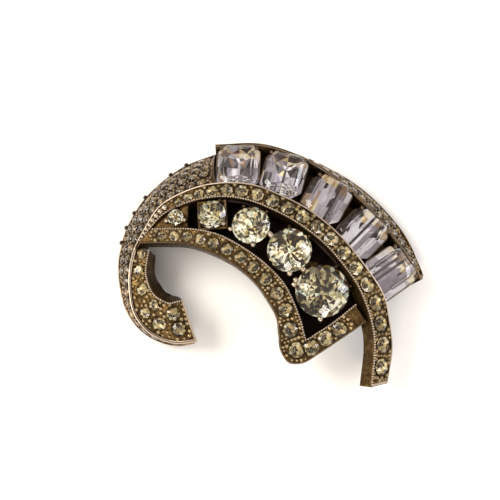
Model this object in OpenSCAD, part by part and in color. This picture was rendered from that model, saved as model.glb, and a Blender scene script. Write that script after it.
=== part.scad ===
/* [Body] */
// Length of the casting, from the hook side to the octagon side
clip_l = 58; // [50:1:70]
// Width of the casting, from the tip of the tail to the far rim
clip_w = 48; // [42:1:58]
// Height of the crest of the middle band above the surface
clip_h = 13; // [12:0.5:16]

/* [Casting] */
// Width of the raised rail at each side of a stone channel
rail_w = 0.3; // [0.25:0.05:0.6]
// Depth of the stone channels below their rails
channel_sink = 1.1; // [1:0.1:1.6]
// Thickness of the bands, from the rails to the back
band_depth = 3; // [2.4:0.1:4]
// Thickness of the crescent and the strip
shell_depth = 2.4; // [2:0.1:3]
// Thickness of the floors under the window and the octagons
floor_t = 0.9; // [0.7:0.1:1.5]
// Drop from the rail of the middle band to the girdles of the octagon stones
crest_drop = 2.4; // [2:0.1:2.8]
// Clearance between a stone and the metal round it
stone_fit = 0.15; // [0.12:0.01:0.25]

/* [Small stones] */
// Diameter of the stones on the crescent
crescent_stone_d = 1.8; // [1.8:0.1:2.6]
// Diameter of the stones on the strip
strip_stone_d = 1.9; // [1.5:0.1:2.2]
// Diameter of the stones in the middle band
middle_stone_d = 2.6; // [2:0.1:2.8]
// Diameter of the stones at the left end of the lower band
lower_stone_d = 1.7; // [1.4:0.1:2]
// Diameter of the stones at the corner of the lower band
corner_stone_d = 2.5; // [2:0.1:2.7]
// Diameter of the stones in the hook panel
hook_stone_d = 2.4; // [2:0.1:2.6]
// Space between neighbouring small stones
stone_space = 0.3; // [0.25:0.05:0.8]

/* [Rim] */
// Diameter of the beads on the rim of the crescent
rim_bead_d = 0.9; // [0.7:0.1:1.1]

/* [Round stones] */
// Diameter of the first round stone, by the tip of the window
round_1_d = 3; // [2.4:0.1:3.4]
// Diameter of the second round stone
round_2_d = 5.3; // [4.5:0.1:5.6]
// Diameter of the third round stone
round_3_d = 7; // [6:0.1:7.3]
// Diameter of the fourth round stone
round_4_d = 8.2; // [7:0.1:8.5]
// Diameter of the fifth and largest round stone
round_5_d = 9.8; // [8:0.1:10]
// Space between the two largest round stones
round_space = 0.65; // [0.5:0.05:1.2]
// Space between the two smallest round stones
round_space_tip = 2.6; // [1.8:0.1:2.8]
// Space between the largest round stone and the corner of the window
corner_space = 2.44; // [2:0.1:3]
// Height of the round stones' tables above the window's rails
round_rise = 0.7; // [0.3:0.1:1.2]
// Radius of a prong
prong_r = 0.42; // [0.3:0.02:0.5]

/* [Octagon stones] */
// Width of an octagon stone, along the rim
oct_w = 7.5; // [7:0.1:7.8]
// Length of an octagon stone, from the rim inwards
oct_l = 8.4; // [8:0.1:9]
// Length of the cut corners of an octagon stone
oct_corner = 1.9; // [1.4:0.1:2.4]
// Height of an octagon stone above its girdle
oct_crown = 1.2; // [1:0.1:1.6]
// Depth of an octagon stone below its girdle
oct_pavilion = 2.5; // [2:0.1:3]
// Thickness of the thin walls beside the octagon stones
seat_wall = 0.3; // [0.25:0.05:0.4]

/* [Clip] */
// Width of the spring clip
strap_w = 11; // [9:0.5:13]
// Length of the leaf that rests on the surface
leaf_l = 19; // [16:0.5:22]
// Thickness of the strap
strap_t = 0.9; // [0.8:0.1:1.2]
// Space for the cloth between the leaf and the base plate
cloth_gap = 1.4; // [1:0.1:2]
// Diameter of the studs that carry the clip
stud_d = 4; // [3:0.5:5]

/* [Hidden] */

GOLD = "#8a7040";
STONE = "#d8d2a0";
CLEAR = "#c9c6d4";
STEEL = "#8d8a84";

// Every table below is read clockwise, from the hook over the top to the tail.
// Its rows hold shares of the casting's length, width and height, in the order
// outer x, outer y, outer z, inner x, inner y, inner z.

// Hook panel, from the hook's tip up to the lower band: ridge, then inner edge
hook_rows = [
    [-0.230, -0.296, 0.40, -0.278, -0.143, 0.60],
    [-0.300, -0.304, 0.40, -0.297, -0.152, 0.65],
    [-0.358, -0.283, 0.42, -0.316, -0.162, 0.70],
    [-0.403, -0.244, 0.43, -0.339, -0.155, 0.73],
    [-0.438, -0.179, 0.45, -0.366, -0.130, 0.72],
    [-0.452, -0.096, 0.48, -0.386, -0.081, 0.68],
    [-0.453, -0.017, 0.52, -0.394, -0.018, 0.60],
    [-0.441, 0.061, 0.55, -0.386, 0.057, 0.58]];

// Middle band, from its narrow left tip over the crest to the tail's end
middle_rows = [
    [-0.435, 0.070, 0.58, -0.419, 0.078, 0.62],
    [-0.406, 0.135, 0.66, -0.383, 0.137, 0.71],
    [-0.355, 0.225, 0.75, -0.332, 0.193, 0.79],
    [-0.268, 0.282, 0.83, -0.252, 0.231, 0.86],
    [-0.172, 0.308, 0.88, -0.163, 0.245, 0.91],
    [-0.061, 0.298, 0.93, -0.077, 0.229, 0.95],
    [0.035, 0.251, 0.95, 0.010, 0.184, 0.98],
    [0.131, 0.186, 0.95, 0.096, 0.122, 0.99],
    [0.227, 0.084, 0.92, 0.182, 0.034, 0.97],
    [0.310, -0.039, 0.82, 0.259, -0.083, 0.92],
    [0.361, -0.136, 0.70, 0.297, -0.175, 0.87],
    [0.380, -0.237, 0.56, 0.320, -0.263, 0.76],
    [0.387, -0.327, 0.43, 0.326, -0.346, 0.64],
    [0.371, -0.450, 0.31, 0.316, -0.480, 0.51]];

// Lower band, from the middle band's tip round its corner to the tail
lower_rows = [
    [-0.380, 0.135, 0.72, -0.419, 0.078, 0.67],
    [-0.316, 0.132, 0.77, -0.332, 0.072, 0.74],
    [-0.236, 0.123, 0.83, -0.265, 0.062, 0.79],
    [-0.157, 0.095, 0.87, -0.189, 0.027, 0.83],
    [-0.077, 0.038, 0.89, -0.115, -0.024, 0.85],
    [-0.013, -0.024, 0.90, -0.054, -0.090, 0.86],
    [0.042, -0.096, 0.89, -0.010, -0.163, 0.86],
    [0.074, -0.172, 0.88, 0.019, -0.234, 0.85],
    [0.096, -0.242, 0.84, 0.026, -0.300, 0.80],
    [0.107, -0.293, 0.80, 0.032, -0.356, 0.74],
    [0.112, -0.312, 0.79, 0.058, -0.398, 0.72],
    [0.119, -0.309, 0.79, 0.104, -0.399, 0.72],
    [0.140, -0.292, 0.80, 0.152, -0.366, 0.74],
    [0.195, -0.249, 0.83, 0.230, -0.304, 0.77],
    [0.265, -0.181, 0.85, 0.300, -0.245, 0.79]];

// Outer edge of the octagon tray, then the row of the middle band beside it
tray_rows = [
    [-0.179, 0.490, 0.66, 3.95],
    [-0.018, 0.487, 0.70, 5.20],
    [0.146, 0.406, 0.71, 6.60],
    [0.287, 0.274, 0.64, 7.75],
    [0.403, 0.116, 0.52, 8.85],
    [0.489, -0.042, 0.40, 10.15]];

// Rim of the strip, one row beside each row of the tray
strip_rim = [
    [-0.179, 0.502, 0.20],
    [-0.010, 0.512, 0.20],
    [0.150, 0.464, 0.20],
    [0.307, 0.346, 0.20],
    [0.434, 0.170, 0.19],
    [0.496, -0.004, 0.18]];

// Rim of the crescent, beside each row of the hook and then of the middle band
crescent_rim = [
    [-0.230, -0.283, 0.17],
    [-0.297, -0.295, 0.16],
    [-0.364, -0.274, 0.16],
    [-0.422, -0.226, 0.16],
    [-0.463, -0.157, 0.16],
    [-0.484, -0.080, 0.16],
    [-0.495, 0.020, 0.16],
    [-0.489, 0.099, 0.16],
    [-0.466, 0.200, 0.17],
    [-0.402, 0.327, 0.18],
    [-0.294, 0.440, 0.19],
    [-0.179, 0.500, 0.20]];

// Where the window's edges lie: row of the middle band, row of the lower band
window_pairs = [[1.2, 0.1], [2.3, 1.1], [3.7, 2.4], [5.4, 3.7], [7.1, 5.4], [9, 7.6],
    [9.8, 8.4], [10.5, 10]];

// Stones of the hook panel: row of the hook, share across to the ridge, share of size
hook_places = [
    [0.77, 0.30, 0.97],
    [1.25, -0.40, 0.97],
    [2.20, 0.28, 0.95],
    [3.40, -0.42, 0.78],
    [3.50, 0.32, 0.82],
    [4.80, -0.20, 0.88],
    [6.00, -0.25, 0.78],
    [6.85, -0.40, 0.66]];

// Forms that keep their shape at every size
RIDGE_RAIL = 0.5;
CRESCENT_RAIL = 0.6;
RIDGE_STEP = 0.3;
SEAM = 0.3;
SEAM_DROP = 0.06;
HOOK_LEANS = [0.9, -0.6];
CRESCENT_LEANS = [0, 1];
STRIP_LEANS = [0, 2.1];
TRAY_LEANS = [1.6, 0];
PRONG_ROOT = 0.8;
PRONG_LEAN = 0.12;
WALL_ENDS = 2.2;
RIM_CLEARANCE = 4.2;
CLAW_BEND = 0.4;
CLAW_LEAN = 1.1;
TUB_DROP = 1.5;
TUB_WALL = 0.8;
WINDOW_DEPTH = 4.6;
TUCK = 0.9;
UNDERCUT = 1.65;
TRAY_FINE = 3;
GIRDLE = 0.06;
SMALL_CROWN = 0.17;
SMALL_PAVILION = 0.3;
ROUND_CROWN = 0.16;
ROUND_PAVILION = 0.34;
RIM_BEAD_ROWS = [7.3, 7.9, 8.4, 8.9, 9.7, 10.15];
STUD_ROWS = [2.9, 4.3];
ROUND_START = 4.6;
CORNER_ROW = 10.7;
ROW_WIDENING = 1;

// Curves through the tables
function curve(a, b, c, d, t) = 0.5 * (2 * b + (c - a) * t + (2 * a - 5 * b + 4 * c - d) * t * t
    + (3 * b - 3 * c + d - a) * t * t * t);
function row_at(rows, s) = let(
    n = len(rows) - 1,
    i = min(max(floor(s), 0), n - 1),
    b = rows[i],
    c = rows[i + 1],
    a = i > 0 ? rows[i - 1] : 2 * b - c,
    d = i < n - 1 ? rows[i + 2] : 2 * c - b)
    curve(a, b, c, d, s - i);
function outer(row) = [row[0], row[1], row[2]];
function inner(row) = [row[3], row[4], row[5]];
function unit(v) = v / norm(v);
function share(a, b, t) = a + (b - a) * t;
function tucked(row, drop) = outer(row) + unit(inner(row) - outer(row)) * SEAM - [0, 0, drop];

// The point on a band: a is measured from its centre line to its outer edge, n upwards
function half_w(rows, s) = let(r = row_at(rows, s)) norm(outer(r) - inner(r)) / 2;
function across(rows, s) = let(r = row_at(rows, s)) unit(outer(r) - inner(r));
function centre(rows, s) = let(r = row_at(rows, s)) (outer(r) + inner(r)) / 2;
function forward(rows, s) = unit(centre(rows, s + 0.05) - centre(rows, s - 0.05));
function upward(rows, s) = unit(cross(forward(rows, s), across(rows, s)));
function on_band(rows, s, a, n) = centre(rows, s) + across(rows, s) * a + upward(rows, s) * n;

// Tables at their real size, with the middle of the outline at the origin
left_x = min([for (r = crescent_rim) r[0]]);
right_x = max([for (r = strip_rim) r[0]]);
near_y = min([for (r = middle_rows) r[4]]);
far_y = max([for (r = strip_rim) r[1]]);
function sized(p) = [(p[0] - (left_x + right_x) / 2) * clip_l,
    (p[1] - (near_y + far_y) / 2) * clip_w, p[2] * clip_h];
function sized_rows(rows) = [for (r = rows) concat(sized(outer(r)), sized(inner(r)))];
hook = sized_rows(hook_rows);
middle = sized_rows(middle_rows);
lower = sized_rows(lower_rows);

// The octagon tray runs under the edge of the middle band
function tray_row(s) = let(r = row_at(tray_rows, s))
    concat(sized(r), on_band(middle, r[3], half_w(middle, r[3]) - TUCK - seat_wall, -crest_drop));
tray = [for (k = [0 : (len(tray_rows) - 1) * TRAY_FINE]) tray_row(k / TRAY_FINE)];
strip = [for (k = [0 : len(tray) - 1])
    concat(sized(row_at(strip_rim, k / TRAY_FINE)), tucked(tray[k], SEAM_DROP))];

// The crescent hangs from the ridge of the hook and then from the middle band
crescent_middle = [1, 2, 3, 3.95];
ridge = concat([for (r = hook) tucked(r, SEAM_DROP)],
    [for (s = crescent_middle) tucked(row_at(middle, s), RIDGE_STEP)]);
crescent = [for (i = [0 : len(crescent_rim) - 1]) concat(sized(crescent_rim[i]), ridge[i])];
CRESCENT_BULGE = [0.05, 0.2];
STRIP_BULGE = [0.1, 0.1];

// The window lies between the rails of the middle band and of the lower band
window = [for (p = window_pairs) concat(inner(row_at(middle, p[0])),
    outer(row_at(lower, p[1])))];
tub = [for (r = window) let(a = unit(outer(r) - inner(r)) * TUB_WALL * 0.7)
    concat(outer(r) + a - [0, 0, TUB_DROP], inner(r) - a - [0, 0, TUB_DROP])];

// Section of a band: a channel between two rails, and its back, which may be undercut
function channel_section(h, rail, sink, depth, bulge, cuts, undercut, leans) = [
    for (p = concat(
        [[h, 0], [h - rail, 0]],
        [for (k = [0 : cuts]) [share(h - rail - leans[0] * sink / depth,
            rail - h + leans[1] * sink / depth, k / cuts), -sink]],
        [[rail - h, 0], [-h, 0], [leans[1] - h, -depth]],
        cuts > 2 ? [[0, -depth]] : [],
        undercut > 0 ? let(u = max(h - TUCK - seat_wall, -h / 2))
            [[u, -depth], [u, -undercut], [h, -undercut]] : [[h - leans[0], -depth]]))
    [p[0], p[1] + bulge * h * (1 - pow(p[0] / h, 2))]];
function bulge_at(bulges, s, n) = share(bulges[0], bulges[1], s / n);

// A band swept along its table, with a solid stretch at each capped end
module channel(rows, rail, sink, depth, steps, bulges = [0, 0], cuts = 1, caps = [0, 0],
    undercut = 0, leans = [0, 0]) {
    n = len(rows) - 1;
    inside = [for (k = [0 : n * steps])
        let(s = k / steps) if ((caps[0] == 0 || s > caps[0] + 0.03)
            && (caps[1] == 0 || s < n - caps[1] - 0.03)) [s, 1]];
    start = caps[0] > 0 ? [[0, 0.05], [caps[0] - 0.02, 0.05], [caps[0], 1]] : [];
    end = caps[1] > 0 ? [[n - caps[1], 1], [n - caps[1] + 0.02, 0.05], [n, 0.05]] : [];
    swept([for (q = concat(start, inside, end)) let(h = half_w(rows, q[0]))
        [for (p = channel_section(h, min(rail, h * 0.4), sink * q[1], depth,
            bulge_at(bulges, q[0], n), cuts, undercut, leans)) on_band(rows, q[0], p[0], p[1])]]);
}
module swept(rings) {
    m = len(rings[0]);
    last = len(rings) - 1;
    polyhedron(points = [for (ring = rings) each ring],
        faces = concat(
            [[for (j = [0 : m - 1]) j]],
            [for (i = [0 : last - 1], j = [0 : m - 1]) let(k = (j + 1) % m)
                each [[i * m + j, (i + 1) * m + k, i * m + k],
                    [i * m + j, (i + 1) * m + j, (i + 1) * m + k]]],
            [[for (j = [m - 1 : -1 : 0]) last * m + j]]),
        convexity = 8);
}

// Length travelled along a line on a band, against the place in its table.
// The line keeps its distance from the inner edge, or else runs along the centre.
function line_point(rows, s, off) =
    on_band(rows, s, off < 0 ? 0 : off - half_w(rows, s), 0);
function travel(rows, from, to, off, n = 80) = [
    for (i = 0, d = 0; i <= n;
        i = i + 1,
        d = d + norm(line_point(rows, share(from, to, i / n), off)
            - line_point(rows, share(from, to, (i - 1) / n), off)))
    [d, share(from, to, i / n)]];

// A single row of stones along a band's centre, each as large as its channel takes
function row_stone_d(rows, s, d, rail) = min(d, 2 * (half_w(rows, s) - rail) - 3 * stone_fit);
function single_row(rows, from, to, d_start, d_end, rail, widening = 0) = let(
    path = travel(rows, from, to, -1),
    total = path[len(path) - 1][0])
    [for (p = d_start / 2; p <= total - d_end / 2;
        p = p + row_stone_d(rows, lookup(p, path), share(d_start, d_end, p / total), rail)
            + 2 * stone_space + widening * p / total)
    [lookup(p, path), 0,
        row_stone_d(rows, lookup(p, path), share(d_start, d_end, p / total), rail)]];

// Rows of stones side by side on a wide band, as many as its width takes
function field_rows(rows, from, to, rail, d, space) = let(
    pitch = d + space,
    widest = max([for (s = [from : 0.1 : to]) half_w(rows, s)]) * 2 - 2 * rail - stone_fit)
    [for (k = [0 : floor(widest / pitch) - 1]) let(
        off = rail + stone_fit + pitch * (k + 0.5),
        path = travel(rows, from, to, off),
        total = path[len(path) - 1][0])
    for (p = pitch * (0.5 + (k % 2) / 2); p <= total - pitch / 2; p = p + pitch)
        let(s = lookup(p, path))
        if (2 * half_w(rows, s) >= off + pitch / 2 + rail) [s, off - half_w(rows, s), d]];

// Sets its child on a band: x along the band, y to the outer edge, z off the surface
module set_on(rows, s, a, n, tilt = 0) {
    y0 = across(rows, s);
    z0 = upward(rows, s);
    x = unit(cross(y0, z0));
    y = y0 * cos(tilt) - z0 * sin(tilt);
    z = z0 * cos(tilt) + y0 * sin(tilt);
    o = on_band(rows, s, a, n);
    multmatrix([[x[0], y[0], z[0], o[0]], [x[1], y[1], z[1], o[1]], [x[2], y[2], z[2], o[2]],
        [0, 0, 0, 1]]) children();
}

// Stones of a band, each with its back just above the channel's floor
module set_stones(rows, places, bulges = [0, 0]) {
    for (p = places) {
        h = half_w(rows, p[0]);
        bulge = bulge_at(bulges, p[0], len(rows) - 1);
        lift = bulge * h * (1 - pow(p[1] / h, 2)) - channel_sink + stone_fit
            + p[2] * SMALL_PAVILION;
        set_on(rows, p[0], p[1], lift, atan(2 * bulge * p[1] / h)) small_stone(p[2]);
    }
}

// A small stone cut with an eight-sided table, over a girdle and a pointed back
module small_stone(d) {
    ring = [for (i = [0 : 7]) [cos(45 * i), sin(45 * i)]];
    polyhedron(points = concat(
            [for (p = ring) [p[0] * d * 0.3, p[1] * d * 0.3, d * SMALL_CROWN]],
            [for (p = ring) [p[0] * d / 2, p[1] * d / 2, 0]],
            [[0, 0, -d * SMALL_PAVILION]]),
        faces = concat(
            [[for (j = [7 : -1 : 0]) j]],
            [for (j = [0 : 7]) [j, (j + 1) % 8, 8 + (j + 1) % 8, 8 + j]],
            [for (j = [0 : 7]) [8 + j, 8 + (j + 1) % 8, 16]]));
}

// A convex stone through rings of points
module cut_stone(points) {
    hull() polyhedron(points = points, faces = [for (i = [2 : len(points) - 1]) [i - 2, i - 1, i]]);
}
function ring_of(n, r, z, turn = 0) =
    [for (i = [0 : n - 1]) [r * cos(360 * i / n + turn), r * sin(360 * i / n + turn), z]];
module round_stone(d) {
    color(STONE) cut_stone(concat(
        ring_of(8, d * 0.28, d * ROUND_CROWN),
        ring_of(8, d * 0.41, d * ROUND_CROWN * 0.55, 22.5),
        ring_of(16, d / 2, GIRDLE),
        ring_of(16, d / 2, -GIRDLE),
        ring_of(8, d * 0.28, -d * ROUND_PAVILION * 0.5),
        [[0, 0, -d * ROUND_PAVILION]]));
}
function octagon(w, l, c, z) = [for (p = [[w / 2, l / 2 - c], [w / 2 - c, l / 2],
    [c - w / 2, l / 2], [-w / 2, l / 2 - c], [-w / 2, c - l / 2], [c - w / 2, -l / 2],
    [w / 2 - c, -l / 2], [w / 2, c - l / 2]]) [p[0], p[1], z]];
module octagon_stone() {
    corner = oct_corner * sqrt(0.5);
    color(CLEAR) cut_stone(concat(
        octagon(oct_w * 0.56, oct_l * 0.62, corner * 0.6, oct_crown),
        octagon(oct_w * 0.8, oct_l * 0.83, corner * 0.8, oct_crown * 0.62),
        octagon(oct_w, oct_l, corner, GIRDLE),
        octagon(oct_w, oct_l, corner, -GIRDLE),
        octagon(oct_w * 0.72, oct_l * 0.76, corner * 0.72, -oct_pavilion * 0.55),
        [[0, oct_l * 0.18, -oct_pavilion], [0, -oct_l * 0.18, -oct_pavilion]]));
}

// Places of the main stones
round_d = [round_1_d, round_2_d, round_3_d, round_4_d, round_5_d];
window_path = travel(window, 0, len(window) - 1, -1);
round_row = window_path[len(window_path) - 1][0] - ROUND_START - corner_space
    - round_1_d / 2 - round_2_d - round_3_d - round_4_d - round_5_d;
function gap_share(i) = share(round_space_tip, round_space, sqrt((i - 1) / 3));
gap_shares = gap_share(1) + gap_share(2) + gap_share(3) + gap_share(4);
function round_place(i) = i == 0 ? ROUND_START
    : round_place(i - 1) + (round_d[i - 1] + round_d[i]) / 2 + round_row * gap_share(i) / gap_shares;
module at_round(i) {
    set_on(window, lookup(round_place(i), window_path), 0, round_rise - round_d[i] * ROUND_CROWN)
        children();
}
module at_octagon(i) {
    s = (i + 0.5) * TRAY_FINE;
    set_on(tray, s, half_w(tray, s) - oct_l / 2 - rail_w - RIM_CLEARANCE * stone_fit, 0)
        children();
}

// Prongs and claws: each stands clear of its stone and ends above the girdle
module prong(foot, lean) {
    hull() {
        translate([prong_r + stone_fit, 0, prong_r * 1.2]) sphere(prong_r, $fn = 6);
        translate([prong_r + stone_fit + lean, 0, -foot]) cylinder(h = 0.2, r = prong_r, $fn = 6);
    }
}
module claw(foot) {
    x = prong_r + stone_fit;
    hull() {
        translate([x, 0, prong_r * 1.2]) sphere(prong_r, $fn = 6);
        translate([x, 0, -CLAW_BEND]) cylinder(h = 0.2, r = prong_r, $fn = 6);
    }
    hull() {
        translate([x, 0, -CLAW_BEND]) cylinder(h = 0.2, r = prong_r, $fn = 6);
        translate([x - CLAW_LEAN, 0, -foot]) cylinder(h = 0.2, r = prong_r, $fn = 6);
    }
}
module round_prongs(i) {
    foot = WINDOW_DEPTH + round_rise - round_d[i] * ROUND_CROWN + PRONG_ROOT;
    for (turn = [45, 135, 225, 315])
        rotate(turn) translate([round_d[i] / 2, 0, 0]) prong(foot, PRONG_LEAN);
}
module octagon_seat() {
    corner = oct_corner * sqrt(0.5);
    depth = oct_pavilion + stone_fit;
    for (side = [-1, 1]) {
        translate([side * (oct_w / 2 + stone_fit + seat_wall / 2), 0, -depth / 2])
            cube([seat_wall, oct_l - WALL_ENDS * corner, depth + 4 * GIRDLE], center = true);
        translate([side * (oct_w - corner) / 2, (oct_l - corner) / 2, 0])
            rotate(90 - side * 45) claw(depth + floor_t / 2);
    }
    translate([0, 0, -depth - floor_t / 2]) cube([oct_w + 2 * (stone_fit + seat_wall),
        oct_l - WALL_ENDS * corner, floor_t * 0.8], center = true);
}

// Studs under the window, and the line of the spring clip through them
studs = [for (s = STUD_ROWS) on_band(window, s, half_w(window, s) * 0.35,
    -WINDOW_DEPTH - floor_t)];
strap_h = 2 * strap_t + cloth_gap;
strap_turn = atan2(studs[1][1] - studs[0][1], studs[1][0] - studs[0][0]);
module rim_beads() {
    for (s = RIM_BEAD_ROWS) translate(on_band(crescent, s, half_w(crescent, s) - rim_bead_d / 8, 0))
        hull() {
            sphere(d = rim_bead_d, $fn = 6);
            rotate([90, 0, 0]) sphere(d = rim_bead_d, $fn = 6);
        }
}
module mounting_studs() {
    for (p = studs) translate([p[0], p[1], strap_h + stone_fit])
        cylinder(h = p[2] + floor_t - strap_h - stone_fit, d = stud_d, $fn = 16);
}

module frame() {
    color(GOLD) {
        channel(crescent, CRESCENT_RAIL, channel_sink, shell_depth, 2, CRESCENT_BULGE, 4,
            [0.15, 0.06], 0, CRESCENT_LEANS);
        channel(strip, rail_w, channel_sink, shell_depth, 1, STRIP_BULGE, 3, [0, 0.2], 0,
            STRIP_LEANS);
        channel(middle, rail_w, channel_sink, band_depth, 2, [0, 0], 1, [0, 0.15], UNDERCUT);
        channel(lower, rail_w, channel_sink, band_depth, 2);
        channel(hook, RIDGE_RAIL, channel_sink, band_depth, 3, [0, 0], 1, [0.2, 0], 0,
            HOOK_LEANS);
        channel(tub, TUB_WALL, WINDOW_DEPTH - TUB_DROP, WINDOW_DEPTH - TUB_DROP + floor_t, 2);
        channel(tray, rail_w, oct_pavilion + stone_fit, oct_pavilion + stone_fit + floor_t, 1,
            [0, 0], 1, [0, 0], 0, TRAY_LEANS);
        for (i = [0 : 4]) at_round(i) round_prongs(i);
        for (i = [0 : 4]) at_octagon(i) octagon_seat();
        rim_beads();
        mounting_studs();
    }
}
module crescent_stones() {
    color(STONE) set_stones(crescent, field_rows(crescent, 0.25, 10.92, CRESCENT_RAIL,
        crescent_stone_d, stone_space), CRESCENT_BULGE);
}
module strip_stones() {
    color(STONE) set_stones(strip, field_rows(strip, 0.3, 14.7, rail_w + stone_space, strip_stone_d,
        stone_space), STRIP_BULGE);
}
module middle_band_stones() {
    color(STONE) set_stones(middle, single_row(middle, 2.4, 12.85, middle_stone_d * 0.8,
        middle_stone_d, rail_w, ROW_WIDENING));
}
module lower_band_stones() {
    color(STONE) {
        set_stones(lower, single_row(lower, 0.5, CORNER_ROW, lower_stone_d, corner_stone_d,
            rail_w, ROW_WIDENING));
        set_stones(lower, single_row(lower, CORNER_ROW + 0.2, 13.8, corner_stone_d,
            corner_stone_d, rail_w));
    }
}
module hook_stones() {
    color(STONE) set_stones(hook, [for (p = hook_places) let(
        d = hook_stone_d * p[2],
        room = half_w(hook, p[0]) - RIDGE_RAIL - 2 * stone_fit - d / 2)
        [p[0], min(max(p[1] * half_w(hook, p[0]), -room), room), d]]);
}
module clip() {
    r = strap_h / 2;
    color(STEEL) translate([(studs[0][0] + studs[1][0]) / 2, (studs[0][1] + studs[1][1]) / 2, 0])
        rotate(strap_turn) translate([-leaf_l / 2, strap_w / 2, 0]) rotate([90, 0, 0])
        linear_extrude(strap_w) {
            difference() {
                translate([0, r]) circle(r, $fn = 48);
                translate([0, r]) circle(r - strap_t, $fn = 48);
                translate([0, -1]) square([strap_h, strap_h + 2]);
            }
            square([leaf_l - r, strap_t]);
            translate([0, strap_h - strap_t]) square([leaf_l - 2 * r, strap_t]);
        }
}

frame();
at_round(0) round_stone(round_1_d);  // round_stone_1
at_round(1) round_stone(round_2_d);  // round_stone_2
at_round(2) round_stone(round_3_d);  // round_stone_3
at_round(3) round_stone(round_4_d);  // round_stone_4
at_round(4) round_stone(round_5_d);  // round_stone_5
at_octagon(0) octagon_stone();  // octagon_stone_1
at_octagon(1) octagon_stone();  // octagon_stone_2
at_octagon(2) octagon_stone();  // octagon_stone_3
at_octagon(3) octagon_stone();  // octagon_stone_4
at_octagon(4) octagon_stone();  // octagon_stone_5
crescent_stones();
strip_stones();
middle_band_stones();
lower_band_stones();
hook_stones();
clip();
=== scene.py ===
# %% [markdown]
# # A vintage dress clip, set with paste stones
# This lesson dresses the plain solids of a dress clip: a cast and gold-washed
# body, five round stones in a dark window, five step-cut octagons in a fan,
# and more than a hundred small stones set between thin rails.
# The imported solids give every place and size, so the looks are drawn over them.

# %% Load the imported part
import math

import bmesh
import bpy
import numpy as np
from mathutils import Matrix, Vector


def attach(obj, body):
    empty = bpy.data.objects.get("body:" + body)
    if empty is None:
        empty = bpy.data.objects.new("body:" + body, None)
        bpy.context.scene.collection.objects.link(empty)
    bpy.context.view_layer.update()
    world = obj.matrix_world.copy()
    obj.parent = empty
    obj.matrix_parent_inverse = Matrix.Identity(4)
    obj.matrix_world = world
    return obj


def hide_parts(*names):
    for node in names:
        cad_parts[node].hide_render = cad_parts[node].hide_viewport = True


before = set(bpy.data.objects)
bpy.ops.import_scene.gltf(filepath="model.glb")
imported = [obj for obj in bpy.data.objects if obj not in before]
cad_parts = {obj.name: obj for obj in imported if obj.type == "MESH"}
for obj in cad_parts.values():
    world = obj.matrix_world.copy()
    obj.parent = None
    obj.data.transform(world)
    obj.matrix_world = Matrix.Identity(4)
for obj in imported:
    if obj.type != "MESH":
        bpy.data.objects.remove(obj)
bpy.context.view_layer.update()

MM = 0.001

# %% [markdown]
# ## The tables of the casting
# A jeweller carves such a body as a few bands that sweep round each other.
# Each row holds shares of the length, width and height: outer edge, then inner
# edge. A smooth curve is drawn through the rows, so few numbers give a long
# flowing form. The same tables shape the solids, and the looks fit over them.

# %% Tables of the bands
LENGTH, WIDTH, HEIGHT = 58.0, 48.0, 13.0

HOOK_ROWS = [
    [-0.230, -0.296, 0.40, -0.278, -0.143, 0.60],
    [-0.300, -0.304, 0.40, -0.297, -0.152, 0.65],
    [-0.358, -0.283, 0.42, -0.316, -0.162, 0.70],
    [-0.403, -0.244, 0.43, -0.339, -0.155, 0.73],
    [-0.438, -0.179, 0.45, -0.366, -0.130, 0.72],
    [-0.452, -0.096, 0.48, -0.386, -0.081, 0.68],
    [-0.453, -0.017, 0.52, -0.394, -0.018, 0.60],
    [-0.441, 0.061, 0.55, -0.386, 0.057, 0.58]]
MIDDLE_ROWS = [
    [-0.435, 0.070, 0.58, -0.419, 0.078, 0.62],
    [-0.406, 0.135, 0.66, -0.383, 0.137, 0.71],
    [-0.355, 0.225, 0.75, -0.332, 0.193, 0.79],
    [-0.268, 0.282, 0.83, -0.252, 0.231, 0.86],
    [-0.172, 0.308, 0.88, -0.163, 0.245, 0.91],
    [-0.061, 0.298, 0.93, -0.077, 0.229, 0.95],
    [0.035, 0.251, 0.95, 0.010, 0.184, 0.98],
    [0.131, 0.186, 0.95, 0.096, 0.122, 0.99],
    [0.227, 0.084, 0.92, 0.182, 0.034, 0.97],
    [0.310, -0.039, 0.82, 0.259, -0.083, 0.92],
    [0.361, -0.136, 0.70, 0.297, -0.175, 0.87],
    [0.380, -0.237, 0.56, 0.320, -0.263, 0.76],
    [0.387, -0.327, 0.43, 0.326, -0.346, 0.64],
    [0.371, -0.450, 0.31, 0.316, -0.480, 0.51]]
LOWER_ROWS = [
    [-0.380, 0.135, 0.72, -0.419, 0.078, 0.67],
    [-0.316, 0.132, 0.77, -0.332, 0.072, 0.74],
    [-0.236, 0.123, 0.83, -0.265, 0.062, 0.79],
    [-0.157, 0.095, 0.87, -0.189, 0.027, 0.83],
    [-0.077, 0.038, 0.89, -0.115, -0.024, 0.85],
    [-0.013, -0.024, 0.90, -0.054, -0.090, 0.86],
    [0.042, -0.096, 0.89, -0.010, -0.163, 0.86],
    [0.074, -0.172, 0.88, 0.019, -0.234, 0.85],
    [0.096, -0.242, 0.84, 0.026, -0.300, 0.80],
    [0.107, -0.293, 0.80, 0.032, -0.356, 0.74],
    [0.112, -0.312, 0.79, 0.058, -0.398, 0.72],
    [0.119, -0.309, 0.79, 0.104, -0.399, 0.72],
    [0.140, -0.292, 0.80, 0.152, -0.366, 0.74],
    [0.195, -0.249, 0.83, 0.230, -0.304, 0.77],
    [0.265, -0.181, 0.85, 0.300, -0.245, 0.79]]
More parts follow.
